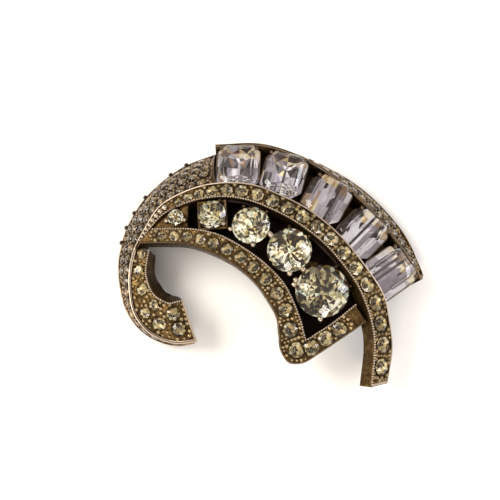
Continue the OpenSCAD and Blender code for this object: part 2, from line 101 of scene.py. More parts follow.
# The tray's rows give its outer edge and the place on the middle band beside it.
TRAY_ROWS = [
    [-0.179, 0.490, 0.66, 3.95], [-0.018, 0.487, 0.70, 5.20], [0.146, 0.406, 0.71, 6.60],
    [0.287, 0.274, 0.64, 7.75], [0.403, 0.116, 0.52, 8.85], [0.489, -0.042, 0.40, 10.15]]
STRIP_RIM = [
    [-0.179, 0.502, 0.20], [-0.010, 0.512, 0.20], [0.150, 0.464, 0.20],
    [0.307, 0.346, 0.20], [0.434, 0.170, 0.19], [0.496, -0.004, 0.18]]
CRESCENT_RIM = [
    [-0.230, -0.283, 0.17], [-0.297, -0.295, 0.16], [-0.364, -0.274, 0.16],
    [-0.422, -0.226, 0.16], [-0.463, -0.157, 0.16], [-0.484, -0.080, 0.16],
    [-0.495, 0.020, 0.16], [-0.489, 0.099, 0.16], [-0.466, 0.200, 0.17],
    [-0.402, 0.327, 0.18], [-0.294, 0.440, 0.19], [-0.179, 0.500, 0.20]]
# The window lies between these places on the middle and on the lower band.
WINDOW_PAIRS = [[1.2, 0.1], [2.3, 1.1], [3.7, 2.4], [5.4, 3.7], [7.1, 5.4],
    [9, 7.6], [9.8, 8.4], [10.5, 10]]

MID_X = (min(r[0] for r in CRESCENT_RIM) + max(r[0] for r in STRIP_RIM)) / 2
MID_Y = (min(r[4] for r in MIDDLE_ROWS) + max(r[1] for r in STRIP_RIM)) / 2
print("middle of the outline, in shares:", round(MID_X, 4), round(MID_Y, 4))

# %% [markdown]
# ## Curves through the tables
# A Catmull-Rom curve passes through every row and turns smoothly between them.
# On each band, a is measured from the centre line to the outer edge, and n is
# the height off the surface. Every later piece is placed by (s, a, n), so a
# stone, a bead or a claw always sits on the metal that carries it.

# %% Points on a band
GLANCE = 0.05  # of a row: how far a direction looks ahead and behind
FINE = 600  # places at which the length of a band is summed


def sized(shares):
    """Points in millimetres from shares of the three sizes."""
    p = np.atleast_2d(np.asarray(shares, float))[:, :3]
    return (p - [MID_X, MID_Y, 0]) * [LENGTH, WIDTH, HEIGHT]


def sized_rows(rows):
    """Both edges of a band in millimetres."""
    r = np.asarray(rows, float)
    return np.hstack([sized(r[:, :3]), sized(r[:, 3:6])])


def row_at(rows, s):
    """The table's row at place s, which may lie between two rows."""
    rows = np.asarray(rows, float)
    s = np.atleast_1d(np.asarray(s, float))
    n = len(rows) - 1
    i = np.clip(np.floor(s).astype(int), 0, n - 1)
    t = (s - i)[:, None]
    b, c = rows[i], rows[i + 1]
    a = np.where((i > 0)[:, None], rows[np.maximum(i - 1, 0)], 2 * b - c)
    d = np.where((i < n - 1)[:, None], rows[np.minimum(i + 2, n)], 2 * c - b)
    return 0.5 * (2 * b + (c - a) * t + (2 * a - 5 * b + 4 * c - d) * t**2
        + (3 * b - 3 * c + d - a) * t**3)


def unit(v):
    """Directions of length one."""
    return v / np.linalg.norm(v, axis=-1, keepdims=True)


def band_frame(rows, s):
    """Centre, direction to the outer edge, direction upwards and half the width."""
    s = np.atleast_1d(s)
    r, ahead, behind = (row_at(rows, s + step) for step in (0, GLANCE, -GLANCE))
    side = r[:, :3] - r[:, 3:6]
    half = np.linalg.norm(side, axis=1) / 2
    side = unit(side)
    forward = unit((ahead[:, :3] + ahead[:, 3:6]) - (behind[:, :3] + behind[:, 3:6]))
    return (r[:, :3] + r[:, 3:6]) / 2, side, unit(np.cross(forward, side)), half


def on_band(rows, s, a, n):
    """Points at places s, distances a from the centre line and heights n."""
    centre, side, up, _ = band_frame(rows, s)
    return centre + side * np.reshape(a, (-1, 1)) + up * np.reshape(n, (-1, 1))


def sections(at, a, n):
    """Rings of points: one section, of a and n, at each place of a band's frame."""
    centre, side, up, _ = at
    return centre[:, None] + side[:, None] * a[..., None] + up[:, None] * n[..., None]


def way_along(points):
    """How far each point of a line is from its start, along the line."""
    return np.concatenate([[0], np.cumsum(np.linalg.norm(np.diff(points, axis=0), axis=1))])


def places_along(rows, start, end, step):
    """Places along a band whose centre line is step millimetres apart."""
    s = np.linspace(start, end, FINE)
    r = row_at(rows, s)
    way = way_along((r[:, :3] + r[:, 3:6]) / 2)
    count = max(int(round(way[-1] / step)), 2)
    return np.interp(np.linspace(0, way[-1], count + 1), way, s)


HOOK, MIDDLE, LOWER = sized_rows(HOOK_ROWS), sized_rows(MIDDLE_ROWS), sized_rows(LOWER_ROWS)
print("bands from tables:", len(HOOK), len(MIDDLE), len(LOWER), "rows")

# %% [markdown]
# ## The bands that hang from other bands
# The tray of the octagons starts under the middle band, the strip runs down
# from the tray's rim, and the crescent hangs from the hook's ridge and then
# from the middle band. Their inner edges are worked out from their neighbours,
# so the seams close by themselves.

# %% Tray, strip, crescent and window
TUCK, SEAT_WALL, CREST_DROP = 0.9, 0.3, 2.4  # mm, how the tray meets the middle band
SEAM, SEAM_DROP, RIDGE_STEP = 0.3, 0.06, 0.3  # mm, how the others hang from an edge
TRAY_FINE = 3  # rows for each octagon


def tucked(rows, drop):
    """The seam just inside the outer edge of a band."""
    out, inn = rows[:, :3], rows[:, 3:6]
    return out + unit(inn - out) * SEAM - [0, 0, drop]


fine_places = np.arange(0, 5.01, 1 / TRAY_FINE)
tray_edge = row_at(TRAY_ROWS, fine_places)
under = band_frame(MIDDLE, tray_edge[:, 3])[3] - TUCK - SEAT_WALL
TRAY = np.hstack([sized(tray_edge),
    on_band(MIDDLE, tray_edge[:, 3], under, np.full(len(under), -CREST_DROP))])
STRIP = np.hstack([sized(row_at(STRIP_RIM, fine_places)), tucked(TRAY, SEAM_DROP)])
CRESCENT = np.hstack([sized(CRESCENT_RIM), np.vstack([tucked(HOOK, SEAM_DROP),
    tucked(row_at(MIDDLE, [1, 2, 3, 3.95]), RIDGE_STEP)])])
WINDOW = np.hstack([row_at(MIDDLE, [p[0] for p in WINDOW_PAIRS])[:, 3:6],
    row_at(LOWER, [p[1] for p in WINDOW_PAIRS])[:, :3]])
print("rows of tray, strip, crescent and window:", *map(len, (TRAY, STRIP, CRESCENT, WINDOW)))

# %% [markdown]
# ## Small helpers
# One function turns a hex colour to linear light, one adds a node with its
# settings and links, and one makes a finished mesh object whose normals point
# outwards. A mesh is written in millimetres and stored in metres.

# %% Helpers for colours, nodes and meshes


def linear(hex_colour):
    """A colour as painters write it, turned to the renderer's linear light."""
    h = hex_colour.lstrip("#")
    c = [int(h[i:i + 2], 16) / 255 for i in (0, 2, 4)]
    return [x / 12.92 if x <= 0.04045 else ((x + 0.055) / 1.055)**2.4 for x in c] + [1.0]


def set_inputs(tree, node, inputs):
    """Gives each named input its value, or links it where that is a socket."""
    for name, value in inputs.items():
        if isinstance(value, bpy.types.NodeSocket):
            tree.links.new(value, node.inputs[name])
        else:
            node.inputs[name].default_value = value


def add_node(tree, kind, settings=None, inputs=None):
    """Adds a node with its settings and its inputs."""
    node = tree.nodes.new(kind)
    for name, value in (settings or {}).items():
        setattr(node, name, value)
    set_inputs(tree, node, inputs or {})
    return node


def new_material(name):
    """A material, its tree and shader, and the place on the piece for its patterns."""
    material = bpy.data.materials.new(name)
    material.use_nodes = True
    tree = material.node_tree
    place = add_node(tree, "ShaderNodeTexCoord").outputs["Object"]
    return material, tree, tree.nodes["Principled BSDF"], place


def show(name, data):
    """An object of the scene for a mesh, a lamp or a camera."""
    thing = bpy.data.objects.new(name, data)
    bpy.context.scene.collection.objects.link(thing)
    return thing


def store(mesh, domain, values):
    """Writes named numbers or directions on the points or faces of a mesh."""
    for key, each in values.items():
        each = np.asarray(each, np.float32)
        kind, part = ("FLOAT_VECTOR", "vector") if each.ndim == 2 else ("FLOAT", "value")
        mesh.attributes.new(key, kind, domain).data.foreach_set(part, each.ravel())


def finish_mesh(name, verts, faces, materials, smooth_angle, on_points, on_faces=None,
        slots=None):
    """A mesh object at the origin, closed and facing outwards, sharp at its creases."""
    mesh = bpy.data.meshes.new(name)
    mesh.from_pydata((np.asarray(verts, float) * MM).tolist(), [], [list(f) for f in faces])
    store(mesh, "POINT", on_points)
    store(mesh, "FACE", on_faces or {})
    for m in materials:
        mesh.materials.append(m)
    if slots is not None:
        mesh.polygons.foreach_set("material_index", np.asarray(slots, np.int32))
    b = bmesh.new()
    b.from_mesh(mesh)
    bmesh.ops.recalc_face_normals(b, faces=b.faces)
    b.to_mesh(mesh)
    b.free()
    if smooth_angle:
        mesh.shade_smooth()
        mesh.set_sharp_from_angle(angle=math.radians(smooth_angle))
    return show(name, mesh)


def settle(piece, slot, *nodes):
    """The piece rides on the body and hides the imported nodes that it stands for; its slot is
    not used.
    """
    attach(piece, "root")
    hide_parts(*nodes)
    print(piece.name, len(piece.data.polygons), "faces")
    return piece


print("mid grey in linear light:", round(linear("#808080")[0], 3))

# %% [markdown]
# ## Gold wash over pot metal
# The body is cast in a tin alloy and washed with gold. Seventy years of wear leave it
# olive-brown in the hollows, where old polish has dried, warm on the flats, and pinkish silver
# where the wash has rubbed off the rails. The same dark olive-brown is also laid as painted
# shade on walls, undersides, seats and the feet of small parts, where shade falls. It could be
# painted by hand, but two attributes from the sweeps, one for wear and one for old polish and
# painted shade, put each tone in the right place, and noise breaks them up.

# %% Antique metal
CAST_GRAIN = 0.35  # mm, the grain of a worn casting; drawn coarser so that it shows
STAIN = 1.6  # mm, the size of a tarnish stain
POLISH_AND_SHADE = "#1c140f"  # the colour of old polish dried in the hollows, and of painted shade
PATCH_LOW, PATCH_HIGH = 0.68, 1.25  # where the noises, added up, are dark and bright


def antique_metal(name, dark, mid, bright, rubbed, roughness=0.36):
    """Washed pot metal: tarnish, old polish and painted shade in the hollows, bare alloy on
    the rubbed edges.
    """
    material, tree, shader, place = new_material(name)
    worn, grime_and_shade = (add_node(tree, "ShaderNodeAttribute",
        {"attribute_name": key}).outputs["Fac"] for key in ("worn", "grime_and_shade"))
    stain = add_node(tree, "ShaderNodeTexNoise", None, {"Vector": place,
        "Scale": 1 / (STAIN * MM), "Detail": 4.0, "Roughness": 0.6}).outputs["Fac"]
    grain = add_node(tree, "ShaderNodeTexNoise", None, {"Vector": place,
        "Scale": 1 / (CAST_GRAIN * MM), "Detail": 3.0, "Roughness": 0.55}).outputs["Fac"]
    patch = add_node(tree, "ShaderNodeMath", {"operation": "MULTIPLY_ADD"},
        {0: grain, 1: 0.9, 2: stain}).outputs[0]
    tone = add_node(tree, "ShaderNodeMapRange", None, {"Value": patch,
        "From Min": PATCH_LOW, "From Max": PATCH_HIGH}).outputs["Result"]
    wash = add_node(tree, "ShaderNodeValToRGB", None, {"Fac": tone})
    marks = wash.color_ramp.elements
    marks[0].color, marks[1].color = linear(dark), linear(bright)
    marks.new(0.5).color = linear(mid)
    kept = add_node(tree, "ShaderNodeMath", {"operation": "MULTIPLY"},
        {0: stain, 1: -0.5}).outputs[0]
    rub = add_node(tree, "ShaderNodeMath", {"operation": "MULTIPLY_ADD", "use_clamp": True},
        {0: worn, 1: 1.25, 2: kept}).outputs[0]
    bare = add_node(tree, "ShaderNodeMix", {"data_type": "RGBA"}, {0: rub,
        6: wash.outputs["Color"], 7: linear(rubbed)}).outputs[2]
    spots = add_node(tree, "ShaderNodeMapRange", None, {"Value": grain, "From Min": 0.25,
        "From Max": 0.6, "To Min": 0.7, "To Max": 1.0}).outputs["Result"]
    # Where a point is marked dark, it takes the dark colour: old polish, and painted shade.
    dark_share = add_node(tree, "ShaderNodeMath", {"operation": "MULTIPLY", "use_clamp": True},
        {0: grime_and_shade, 1: spots}).outputs[0]
    colour = add_node(tree, "ShaderNodeMix", {"data_type": "RGBA"}, {0: dark_share, 6: bare,
        7: linear(POLISH_AND_SHADE)}).outputs[2]
    rough = add_node(tree, "ShaderNodeMapRange", None, {"Value": patch,
        "From Min": PATCH_LOW, "From Max": 1.2, "To Min": roughness + 0.14,
        "To Max": roughness - 0.08}).outputs["Result"]
    relief = add_node(tree, "ShaderNodeBump", None, {"Height": patch, "Strength": 0.6,
        "Distance": 0.09 * MM}).outputs["Normal"]
    set_inputs(tree, shader, {"Base Color": colour, "Metallic": 1.0, "Roughness": rough,
        "Normal": relief})
    return material


gold_wash = antique_metal("gold_wash", "#2c2012", "#5c472a", "#8c7248", "#c6b6a4", 0.42)
grey_gold = antique_metal("greyed_gold_wash", "#35281c", "#68553f", "#947f68", "#bca690")
bare_alloy = antique_metal("rubbed_alloy", "#46341f", "#7c6448", "#ac9474", "#c6b8a6", 0.3)
# Near black for the window's pocket: painted shade.
pocket_metal = antique_metal("tarnish_and_painted_shade", "#1f1613", "#32272a", "#483a36", "#6a5848",
    0.5)
grain_gold = antique_metal("grain_gold", "#42321a", "#826a40", "#b69c6a", "#d4c6a8", 0.38)
METALS = (gold_wash, grey_gold, bare_alloy, pocket_metal, grain_gold)
print("metals:", [m.name for m in METALS])

# %% [markdown]
# ## Paste stones
# Paste is cut lead glass with a bright foil behind it. Light enters the clear
# crown, bends, meets the foil and comes back through another facet, which is
# why each facet flashes on its own. Tracing every bounce would be noisy, so
# each facet carries its own share of light in an attribute, shade, and its own
# lean towards a second colour, hue. Real glass lies over that mosaic. The foil
# glows a little too, because a lit facet flashes brighter than paint can be.
# The large round stones are champagne and the octagons are clear. The small
# stones are golden on the bright bands and dulled on the crescent and strip.

# %% Glass and foils
SHADE, TINT, HUE = "shade", "tint", "hue"
HAZE_SIZE, CREASE_SIZE = 1.1, 0.625  # mm, haze on old glass and creases in the foil
WEAR = 0.2  # how much the haze or the creases change a facet's light
LIT_SHARE = 0.4  # how much of a facet's light the clear glass shows
CHAMPAGNE = ["#1a120a", "#4a3a24", "#86744a", "#ccb67e", "#f4e6bc", "#fffdf2"]
GOLDEN = ["#1a1208", "#4e3a1e", "#8a7040", "#ccb072", "#f4e6ba", "#fffdf0"]
DULLED = ["#1c140c", "#463626", "#6e5a3c", "#98825a", "#c6b086", "#f0e2c4"]
SMOKE = ["#241c1e", "#5e423c", "#7c8682", "#a6bab4", "#e2ece6", "#ffffff"]
WATER = ["#241f1c", "#5a5452", "#918b92", "#b8b3bb", "#dad7dc", "#ffffff"]
AMBER = ["#2a1a12", "#6a453a", "#a5824c", "#dcc082", "#f2e4b6", "#fffbe8"]


def facet_colour(tree, stops, others, spread, wear):
    """The colour of a facet: its shade along one ramp or, by its hue, another."""
    shade, tint, hue = (add_node(tree, "ShaderNodeAttribute",
        {"attribute_name": key}).outputs["Fac"] for key in (SHADE, TINT, HUE))
    stone = add_node(tree, "ShaderNodeMath", {"operation": "MULTIPLY_ADD"},
        {0: tint, 1: spread, 2: shade}).outputs[0]
    level = add_node(tree, "ShaderNodeMath", {"operation": "MULTIPLY_ADD"},
        {0: wear, 1: WEAR, 2: stone}).outputs[0]
    centred = add_node(tree, "ShaderNodeMath", {"operation": "SUBTRACT"},
        {0: level, 1: WEAR / 2 + spread / 2}).outputs[0]
    ramps = []
    for colours in (stops, others):
        ramp = add_node(tree, "ShaderNodeValToRGB", None, {"Fac": centred})
        marks, last = ramp.color_ramp.elements, len(colours) - 1
        marks[0].color, marks[1].color = linear(colours[0]), linear(colours[last])
        for i in range(1, last):
            marks.new(i / last).color = linear(colours[i])
        ramps.append(ramp.outputs["Color"])
    return add_node(tree, "ShaderNodeMix", {"data_type": "RGBA"},
        {0: hue, 6: ramps[0], 7: ramps[1]}).outputs[2]


def paste_glass(name, colour, stops, others, spread):
    """Lead glass: high index, hardly rough, each crown facet with a trace of its light."""
    material, tree, shader, place = new_material(name)
    haze = add_node(tree, "ShaderNodeTexNoise", None, {"Vector": place,
        "Scale": 1 / (HAZE_SIZE * MM), "Detail": 3.0}).outputs["Fac"]
    hazed = add_node(tree, "ShaderNodeMapRange", None, {"Value": haze, "From Min": 0.4,
        "From Max": 0.75, "To Min": 0.0, "To Max": 0.03}).outputs["Result"]
    lit = facet_colour(tree, stops, others, spread, haze)
    tone = add_node(tree, "ShaderNodeMix", {"data_type": "RGBA"}, {0: LIT_SHARE,
        6: linear(colour), 7: lit}).outputs[2]
    set_inputs(tree, shader, {"Base Color": tone, "Roughness": hazed,
        "Transmission Weight": 1.0, "IOR": 1.58})
    return material


def foil(name, stops, others, spread, roughness, flash):
    """Foil behind glass: half mirror, half bright paint, with the facet's own light."""
    material, tree, shader, place = new_material(name)
    wear = add_node(tree, "ShaderNodeTexNoise", None, {"Vector": place,
        "Scale": 1 / (CREASE_SIZE * MM), "Detail": 3.0}).outputs["Fac"]
    lit = facet_colour(tree, stops, others, spread, wear)
    rough = add_node(tree, "ShaderNodeMapRange", None, {"Value": wear, "To Min": roughness,
        "To Max": roughness + 0.15}).outputs["Result"]
    relief = add_node(tree, "ShaderNodeBump", None, {"Height": wear, "Strength": 0.2,
        "Distance": 0.02 * MM}).outputs["Normal"]
    set_inputs(tree, shader, {"Base Color": lit, "Emission Color": lit,
        "Emission Strength": flash, "Metallic": 0.35, "Roughness": rough, "Normal": relief})
    return material


champagne_glass = paste_glass("champagne_paste", "#fdf9e6", CHAMPAGNE, SMOKE, 0.3)
golden_glass = paste_glass("golden_paste", "#f8ecc8", GOLDEN, CHAMPAGNE, 0.3)
dulled_glass = paste_glass("dulled_paste", "#cfc0a0", DULLED, CHAMPAGNE, 0.3)
water_glass = paste_glass("clear_paste", "#f6f4fa", WATER, AMBER, 0.1)
gold_foil = foil("gold_foil", CHAMPAGNE, SMOKE, 0.3, 0.15, 0.4)
golden_foil = foil("golden_foil", GOLDEN, SMOKE, 0.3, 0.18, 0.2)
dulled_foil = foil("dulled_foil", DULLED, GOLDEN, 0.3, 0.3, 0.1)
silver_foil = foil("silver_foil", WATER, AMBER, 0.1, 0.12, 0.34)
print("paste:", champagne_glass.name, water_glass.name, gold_foil.name, silver_foil.name)

# %% [markdown]
# ## Where the small stones sit
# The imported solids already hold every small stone. Each loose solid in a field
# is read once: its point away from the table gives its direction, and its
# widest ring gives its centre and width. A copy is merged first, because a
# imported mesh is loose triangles.

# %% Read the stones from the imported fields
SIDES = 8  # of a small stone


def read_stones(node_name):
    """Centres, directions, widths and directions of a corner of a field's stones."""
    b = bmesh.new()
    b.from_mesh(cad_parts[node_name].data)
    bmesh.ops.remove_doubles(b, verts=b.verts, dist=1e-6)
    seen, found = set(), []
    for v in b.verts:
        if v in seen:
            continue
        island, queue = [], [v]
        seen.add(v)
        while queue:
            w = queue.pop()
            island.append(w.co / MM)
            for e in w.link_edges:
                u = e.other_vert(w)
                if u not in seen:
                    seen.add(u)
                    queue.append(u)
        p = np.array(island)
        p = p[np.argsort(-np.linalg.norm(p - p.mean(axis=0), axis=1))]
        girdle, point = p[:SIDES], p[SIDES]
        centre = girdle.mean(axis=0)
        found.append((centre, unit(centre - point),
            np.linalg.norm(girdle - centre, axis=1).mean() * 2, unit(girdle[0] - centre)))
    b.free()
    return {key: np.array([f[k] for f in found])
        for k, key in enumerate(("centre", "up", "width", "corner"))}


def clear_of(points, field, growth=1.0):
    """How far each point is from the nearest stone's side; below nought is under it."""
    gap = points[:, None, :] - field["centre"][None]
    along = np.einsum("pkc,kc->pk", gap, field["up"])
    flat = np.linalg.norm(gap - along[:, :, None] * field["up"][None], axis=2)
    return (flat - field["width"][None] * growth / 2).min(axis=1)


FIELDS = {band: read_stones(band + "_stones")
    for band in ("crescent", "strip", "middle_band", "lower_band", "hook")}
for band, field in FIELDS.items():
    print(band, len(field["width"]), "stones,", round(float(field["width"].min()), 2), "to",
        round(float(field["width"].max()), 2), "mm")

# %% [markdown]
# ## The swept bands
# A band is one closed skin: a rail, the plate that holds the stones, a second rail and a back.
# Its section is swept along the table with a ring every quarter of a millimetre. The plate is
# pressed down under each stone, as a jeweller drills a seat, so the metal stands between the
# stones and hollows ring them, painted dark as old polish and painted shade. The walls darken
# downwards and the back is dark, as painted shade. A modifier could not know the stones, so
# mesh code is used.

# %% Sweep a band
# A rail is read from its free edge inwards: distance, height, rubbed, and how dark it is
# painted (old polish and painted shade).
THIN_RAIL = [(0, -0.20, 0.3, 0.1), (0.04, -0.06, 0.9, 0), (0.10, 0, 1, 0), (0.19, 0, 1, 0),
    (0.26, -0.06, 0.8, 0), (0.30, -0.2, 0.2, 0.4)]
MILLED_RAIL = [(0, -0.24, 0.2, 0.3), (0.04, -0.16, 0.3, 0.3), (0.11, -0.12, 0.3, 0.4),
    (0.2, -0.12, 0.3, 0.4), (0.26, -0.16, 0.2, 0.4), (0.30, -0.24, 0.1, 0.5)]
SOFT_EDGE = [(0, -0.32, 0.1, 0.35), (0.06, -0.14, 0.25, 0.1), (0.16, -0.05, 0.35, 0),
    (0.26, -0.07, 0.2, 0), (0.36, -0.15, 0, 0.1), (0.42, -0.25, 0, 0.3)]
RIDGE_RAIL = [(0, -0.25, 0.1, 0.4), (0.06, -0.06, 0.8, 0), (0.16, 0.02, 1, 0),
    (0.30, 0, 0.9, 0), (0.38, -0.14, 0.1, 0.8), (0.44, -0.18, 0, 0.9), (0.50, -0.06, 0.8, 0),
    (0.58, -0.04, 0.9, 0), (0.66, -0.2, 0, 0.6)]
RIM_EDGE = [(0, -0.45, 0, 0.7), (0.08, -0.2, 0.2, 0.4), (0.22, -0.04, 0.45, 0.1),
    (0.40, -0.02, 0.4, 0.1), (0.54, -0.14, 0.1, 0.3), (0.62, -0.32, 0, 0.6)]
# A wall goes down from its rail: share of the lean, share of the depth, rubbed, and how dark
# it is painted, darker lower down as painted shade.
INNER_WALL = [(0.15, 0.25, 0.1, 0.3), (0.55, 0.6, 0.05, 0.35), (1, 1, 0, 0.55)]
OUTER_WALL = [(1, 1, 0, 0.7), (0.55, 0.6, 0, 0.6), (0.15, 0.3, 0.1, 0.45)]
BAND_STEP, PIT = 0.25, 1.04  # mm, between rings, and the depth of a drilled seat
SEAT_EDGE, SEAT_FADE = 0.03, 0.16  # mm: where off a stone the plate falls, how gently
POLISH_SHADE_REACH, POLISH_SHADE_SHARE = 0.22, 0.75  # mm and share: old polish and painted shade round a stone
RAIL_SHARE = 0.45  # of half the band: the most that a rail may take
CAP_DEPTH, CAP_EDGE = 0.06, 0.012  # mm and rows: a closed end's plate and its step


def sweep_band(rows, field, outer_rail, inner_rail, plate, depth, floor_points, caps=(0, 0),
        bulges=(0, 0), leans=(0, 0), undercut=0, start=0):
    """The rings of a band as points, with how rubbed each point is and how dark it is painted,
    as old polish and painted shade.
    """
    last = len(rows) - 1
    s = places_along(rows, start, last, BAND_STEP)
    for c in [caps[0], last - caps[1]]:
        if 0 < c < last:
            s = np.sort(np.append(s, [c - CAP_EDGE, c + CAP_EDGE]))
    at = band_frame(rows, s)
    half = at[3][:, None]
    open_here = ((s > caps[0]) | (caps[0] == 0)) & ((s < last - caps[1]) | (caps[1] == 0))
    shape = []
    for h, is_open in zip(at[3], open_here):
        k_out, k_in = (min(1, RAIL_SHARE * h / r[-1][0]) for r in (outer_rail, inner_rail))
        line = [(h - d * k_out, n, w, g) for d, n, w, g in outer_rail]
        a0, a1 = h - outer_rail[-1][0] * k_out, inner_rail[-1][0] * k_in - h
        sunk = plate if is_open else CAP_DEPTH
        line += [(a0 + (a1 - a0) * j / floor_points, -sunk, 0.1, 0.12)
            for j in range(floor_points + 1)]
        line += [(d * k_in - h, n, w, g) for d, n, w, g in reversed(inner_rail)]
        line += [(leans[1] * k - h, -depth * d, w, g) for k, d, w, g in INNER_WALL]
        low = leans[1] - h
        # The back and the undercut are painted dark: painted shade.
        if undercut:
            u = max(h - TUCK - SEAT_WALL, -h / 2)
            line += [(0.5 * (low + u), -depth, 0, 0.7), (u, -depth, 0, 0.7),
                (u, -undercut, 0, 0.9), (h, -undercut, 0, 0.7), (h, -undercut * 0.5, 0, 0.5)]
        else:
            base = h - leans[0]
            line += [(low + (base - low) * k, -depth, 0, 0.7) for k in (0.25, 0.5, 0.75)]
            line += [(h - leans[0] * k, -depth * d, w, g) for k, d, w, g in OUTER_WALL]
        shape.append(line)
    a, n, worn, grime_and_shade = np.moveaxis(np.array(shape), -1, 0).copy()
    swell = bulges[0] + (bulges[1] - bulges[0]) * s / last
    n += swell[:, None] * half * (1 - (a / half)**2)
    floor = slice(len(outer_rail), len(outer_rail) + floor_points + 1)
    gap = clear_of(sections(at, a, n)[:, floor].reshape(-1, 3), field).reshape(len(s), -1)
    down = np.clip((SEAT_EDGE - gap) / SEAT_FADE, 0, 1)
    down = down * down * (3 - 2 * down) * open_here[:, None]
    n[:, floor] -= down * (PIT - plate)
    # Round each stone and in its seat the plate is painted dark: old polish and painted shade.
    near = np.exp(-(np.maximum(gap, 0) / POLISH_SHADE_REACH)**2) * open_here[:, None]
    grime_and_shade[:, floor] = np.maximum(grime_and_shade[:, floor], np.maximum(near * POLISH_SHADE_SHARE, down))
    return sections(at, a, n), worn, grime_and_shade


def skin(points):
    """Faces of a closed skin over rings of points, with flat ends."""
    rings, m = points.shape[:2]
    i, j = np.meshgrid(np.arange(rings - 1), np.arange(m), indexing="ij")
    k = (j + 1) % m
    faces = np.stack([i * m + j, i * m + k, (i + 1) * m + k, (i + 1) * m + j], -1)
    ends = [list(range(m)), list(range((rings - 1) * m, rings * m))]
    return faces.reshape(-1, 4).tolist() + ends


def metal_piece(name, metal, parts, smooth_angle=40):
    """Closed skins, with how rubbed and how dark (old polish and painted shade) each ring or
    point is, as one piece of the body.
    """
    verts, faces, marks = [], [], []
    for points, *looks in parts:
        start = sum(map(len, verts))
        faces += [[start + k for k in f] for f in skin(points)]
        verts.append(points.reshape(-1, 3))
        marks.append([np.broadcast_to(np.reshape(look, (len(points), -1)),
            points.shape[:2]).ravel() for look in looks])
    worn, grime_and_shade = np.hstack(marks)
    return settle(finish_mesh(name, np.vstack(verts), faces, [metal], smooth_angle,
        {"worn": worn, "grime_and_shade": grime_and_shade}), "gold_metal", "frame")


print("rails:", *map(len, (THIN_RAIL, MILLED_RAIL, SOFT_EDGE, RIDGE_RAIL, RIM_EDGE)), "points")

# %% [markdown]
# ## The five bands
# The crescent and the strip fall away from the bright bands and carry pave
# stones, and the crescent's metal is greyer. The middle band is the crest. The
# lower band turns a rounded corner at the bottom and runs on to the tail. The
# hook is the broad panel on the left, with a doubled ridge.

# %% Sweep the five bands
SHELL_DEPTH, BAND_DEPTH = 2.4, 3.0
# Each band: piece, metal, rows, outer and inner rail, depth of the plate and of the
# band, points across the plate, and what else its sweep takes.
BANDS = {
    "crescent": ("crescent_metal", grey_gold, CRESCENT, RIM_EDGE, THIN_RAIL, 0.50,
        SHELL_DEPTH, 36, {"caps": (0.28, 0.06), "bulges": (0.05, 0.2), "leans": (0, 1),
        "start": 0.16}),
    "strip": ("strip_metal", gold_wash, STRIP, SOFT_EDGE, THIN_RAIL, 0.50, SHELL_DEPTH, 22,
        {"caps": (0, 0.2), "bulges": (0.1, 0.1), "leans": (0, 2.1)}),
    "middle_band": ("middle_band_metal", gold_wash, MIDDLE, THIN_RAIL, MILLED_RAIL, 0.34,
        BAND_DEPTH, 16, {"caps": (0, 0.15), "undercut": 1.65}),
    "lower_band": ("lower_band_metal", gold_wash, LOWER, MILLED_RAIL, SOFT_EDGE, 0.34,
        BAND_DEPTH, 16, {}),
    "hook": ("hook_panel_metal", gold_wash, HOOK, RIDGE_RAIL, MILLED_RAIL, 0.42, BAND_DEPTH,
        24, {"caps": (0.2, 0), "leans": (0.9, -0.6)})}
for band, (name, metal, rows, outer, inner, plate, depth, across, rest) in BANDS.items():
    metal_piece(name, metal,
        [sweep_band(rows, FIELDS[band], outer, inner, plate, depth, across, **rest)])

# %% [markdown]
# ## The dark window and the tray
# Between the middle and the lower band lies a deep pocket, painted near black as shade, so the
# round stones seem to float. The tray under the octagons is the same, painted dark as shade:
# only thin bright walls part the stones. Both are plain swept troughs.

# %% Trough of the window and tray of the octagons
TUB_DROP, TUB_WALL, WINDOW_DEPTH, FLOOR = 1.5, 0.8, 4.6, 0.9
OCT_W, OCT_L, OCT_CORNER, OCT_CROWN, OCT_PAVILION, FIT = 7.5, 8.4, 1.9, 1.2, 2.5, 0.15
TRAY_WALL, TROUGH_STEP = 0.3, 0.5
WALL_SHARE = 0.4  # of half a trough: the most that its wall may take


def trough(rows, wall, sink, thick, lean=0, worn_rail=0.2):
    """A plain channel with rounded rims, for places that are mostly dark."""
    at = band_frame(rows, places_along(rows, 0, len(rows) - 1, TROUGH_STEP))
    rim = [(0, -0.06, worn_rail, 0.2), (0.3, 0, worn_rail, 0.1), (0.7, 0, worn_rail, 0.1),
        (1, -0.08, 0, 0.5)]
    shape = []
    for h in at[3]:
        w = min(wall, h * WALL_SHARE)
        line = [(h - k * w, n, worn, grime_and_shade) for k, n, worn, grime_and_shade in rim]
        # Walls and floor of a trough are painted dark: painted shade.
        line += [(h - w - lean * sink / thick * k, -sink * k, 0, 0.8) for k in (0.3, 0.7)]
        line += [(h - w - lean * sink / thick, -sink, 0, 1), (0, -sink, 0, 1),
            (w - h, -sink, 0, 1)]
        line += [(w - h, -sink * k, 0, 0.8) for k in (0.7, 0.3)]
        line += [(k * w - h, n, worn, grime_and_shade) for k, n, worn, grime_and_shade in reversed(rim)]
        line += [(-h, -thick, 0, 0.7), (0, -thick, 0, 0.7), (h - lean, -thick, 0, 0.7)]
        shape.append(line)
    a, n, worn, grime_and_shade = np.moveaxis(np.array(shape), -1, 0)
    return sections(at, a, n), worn, grime_and_shade


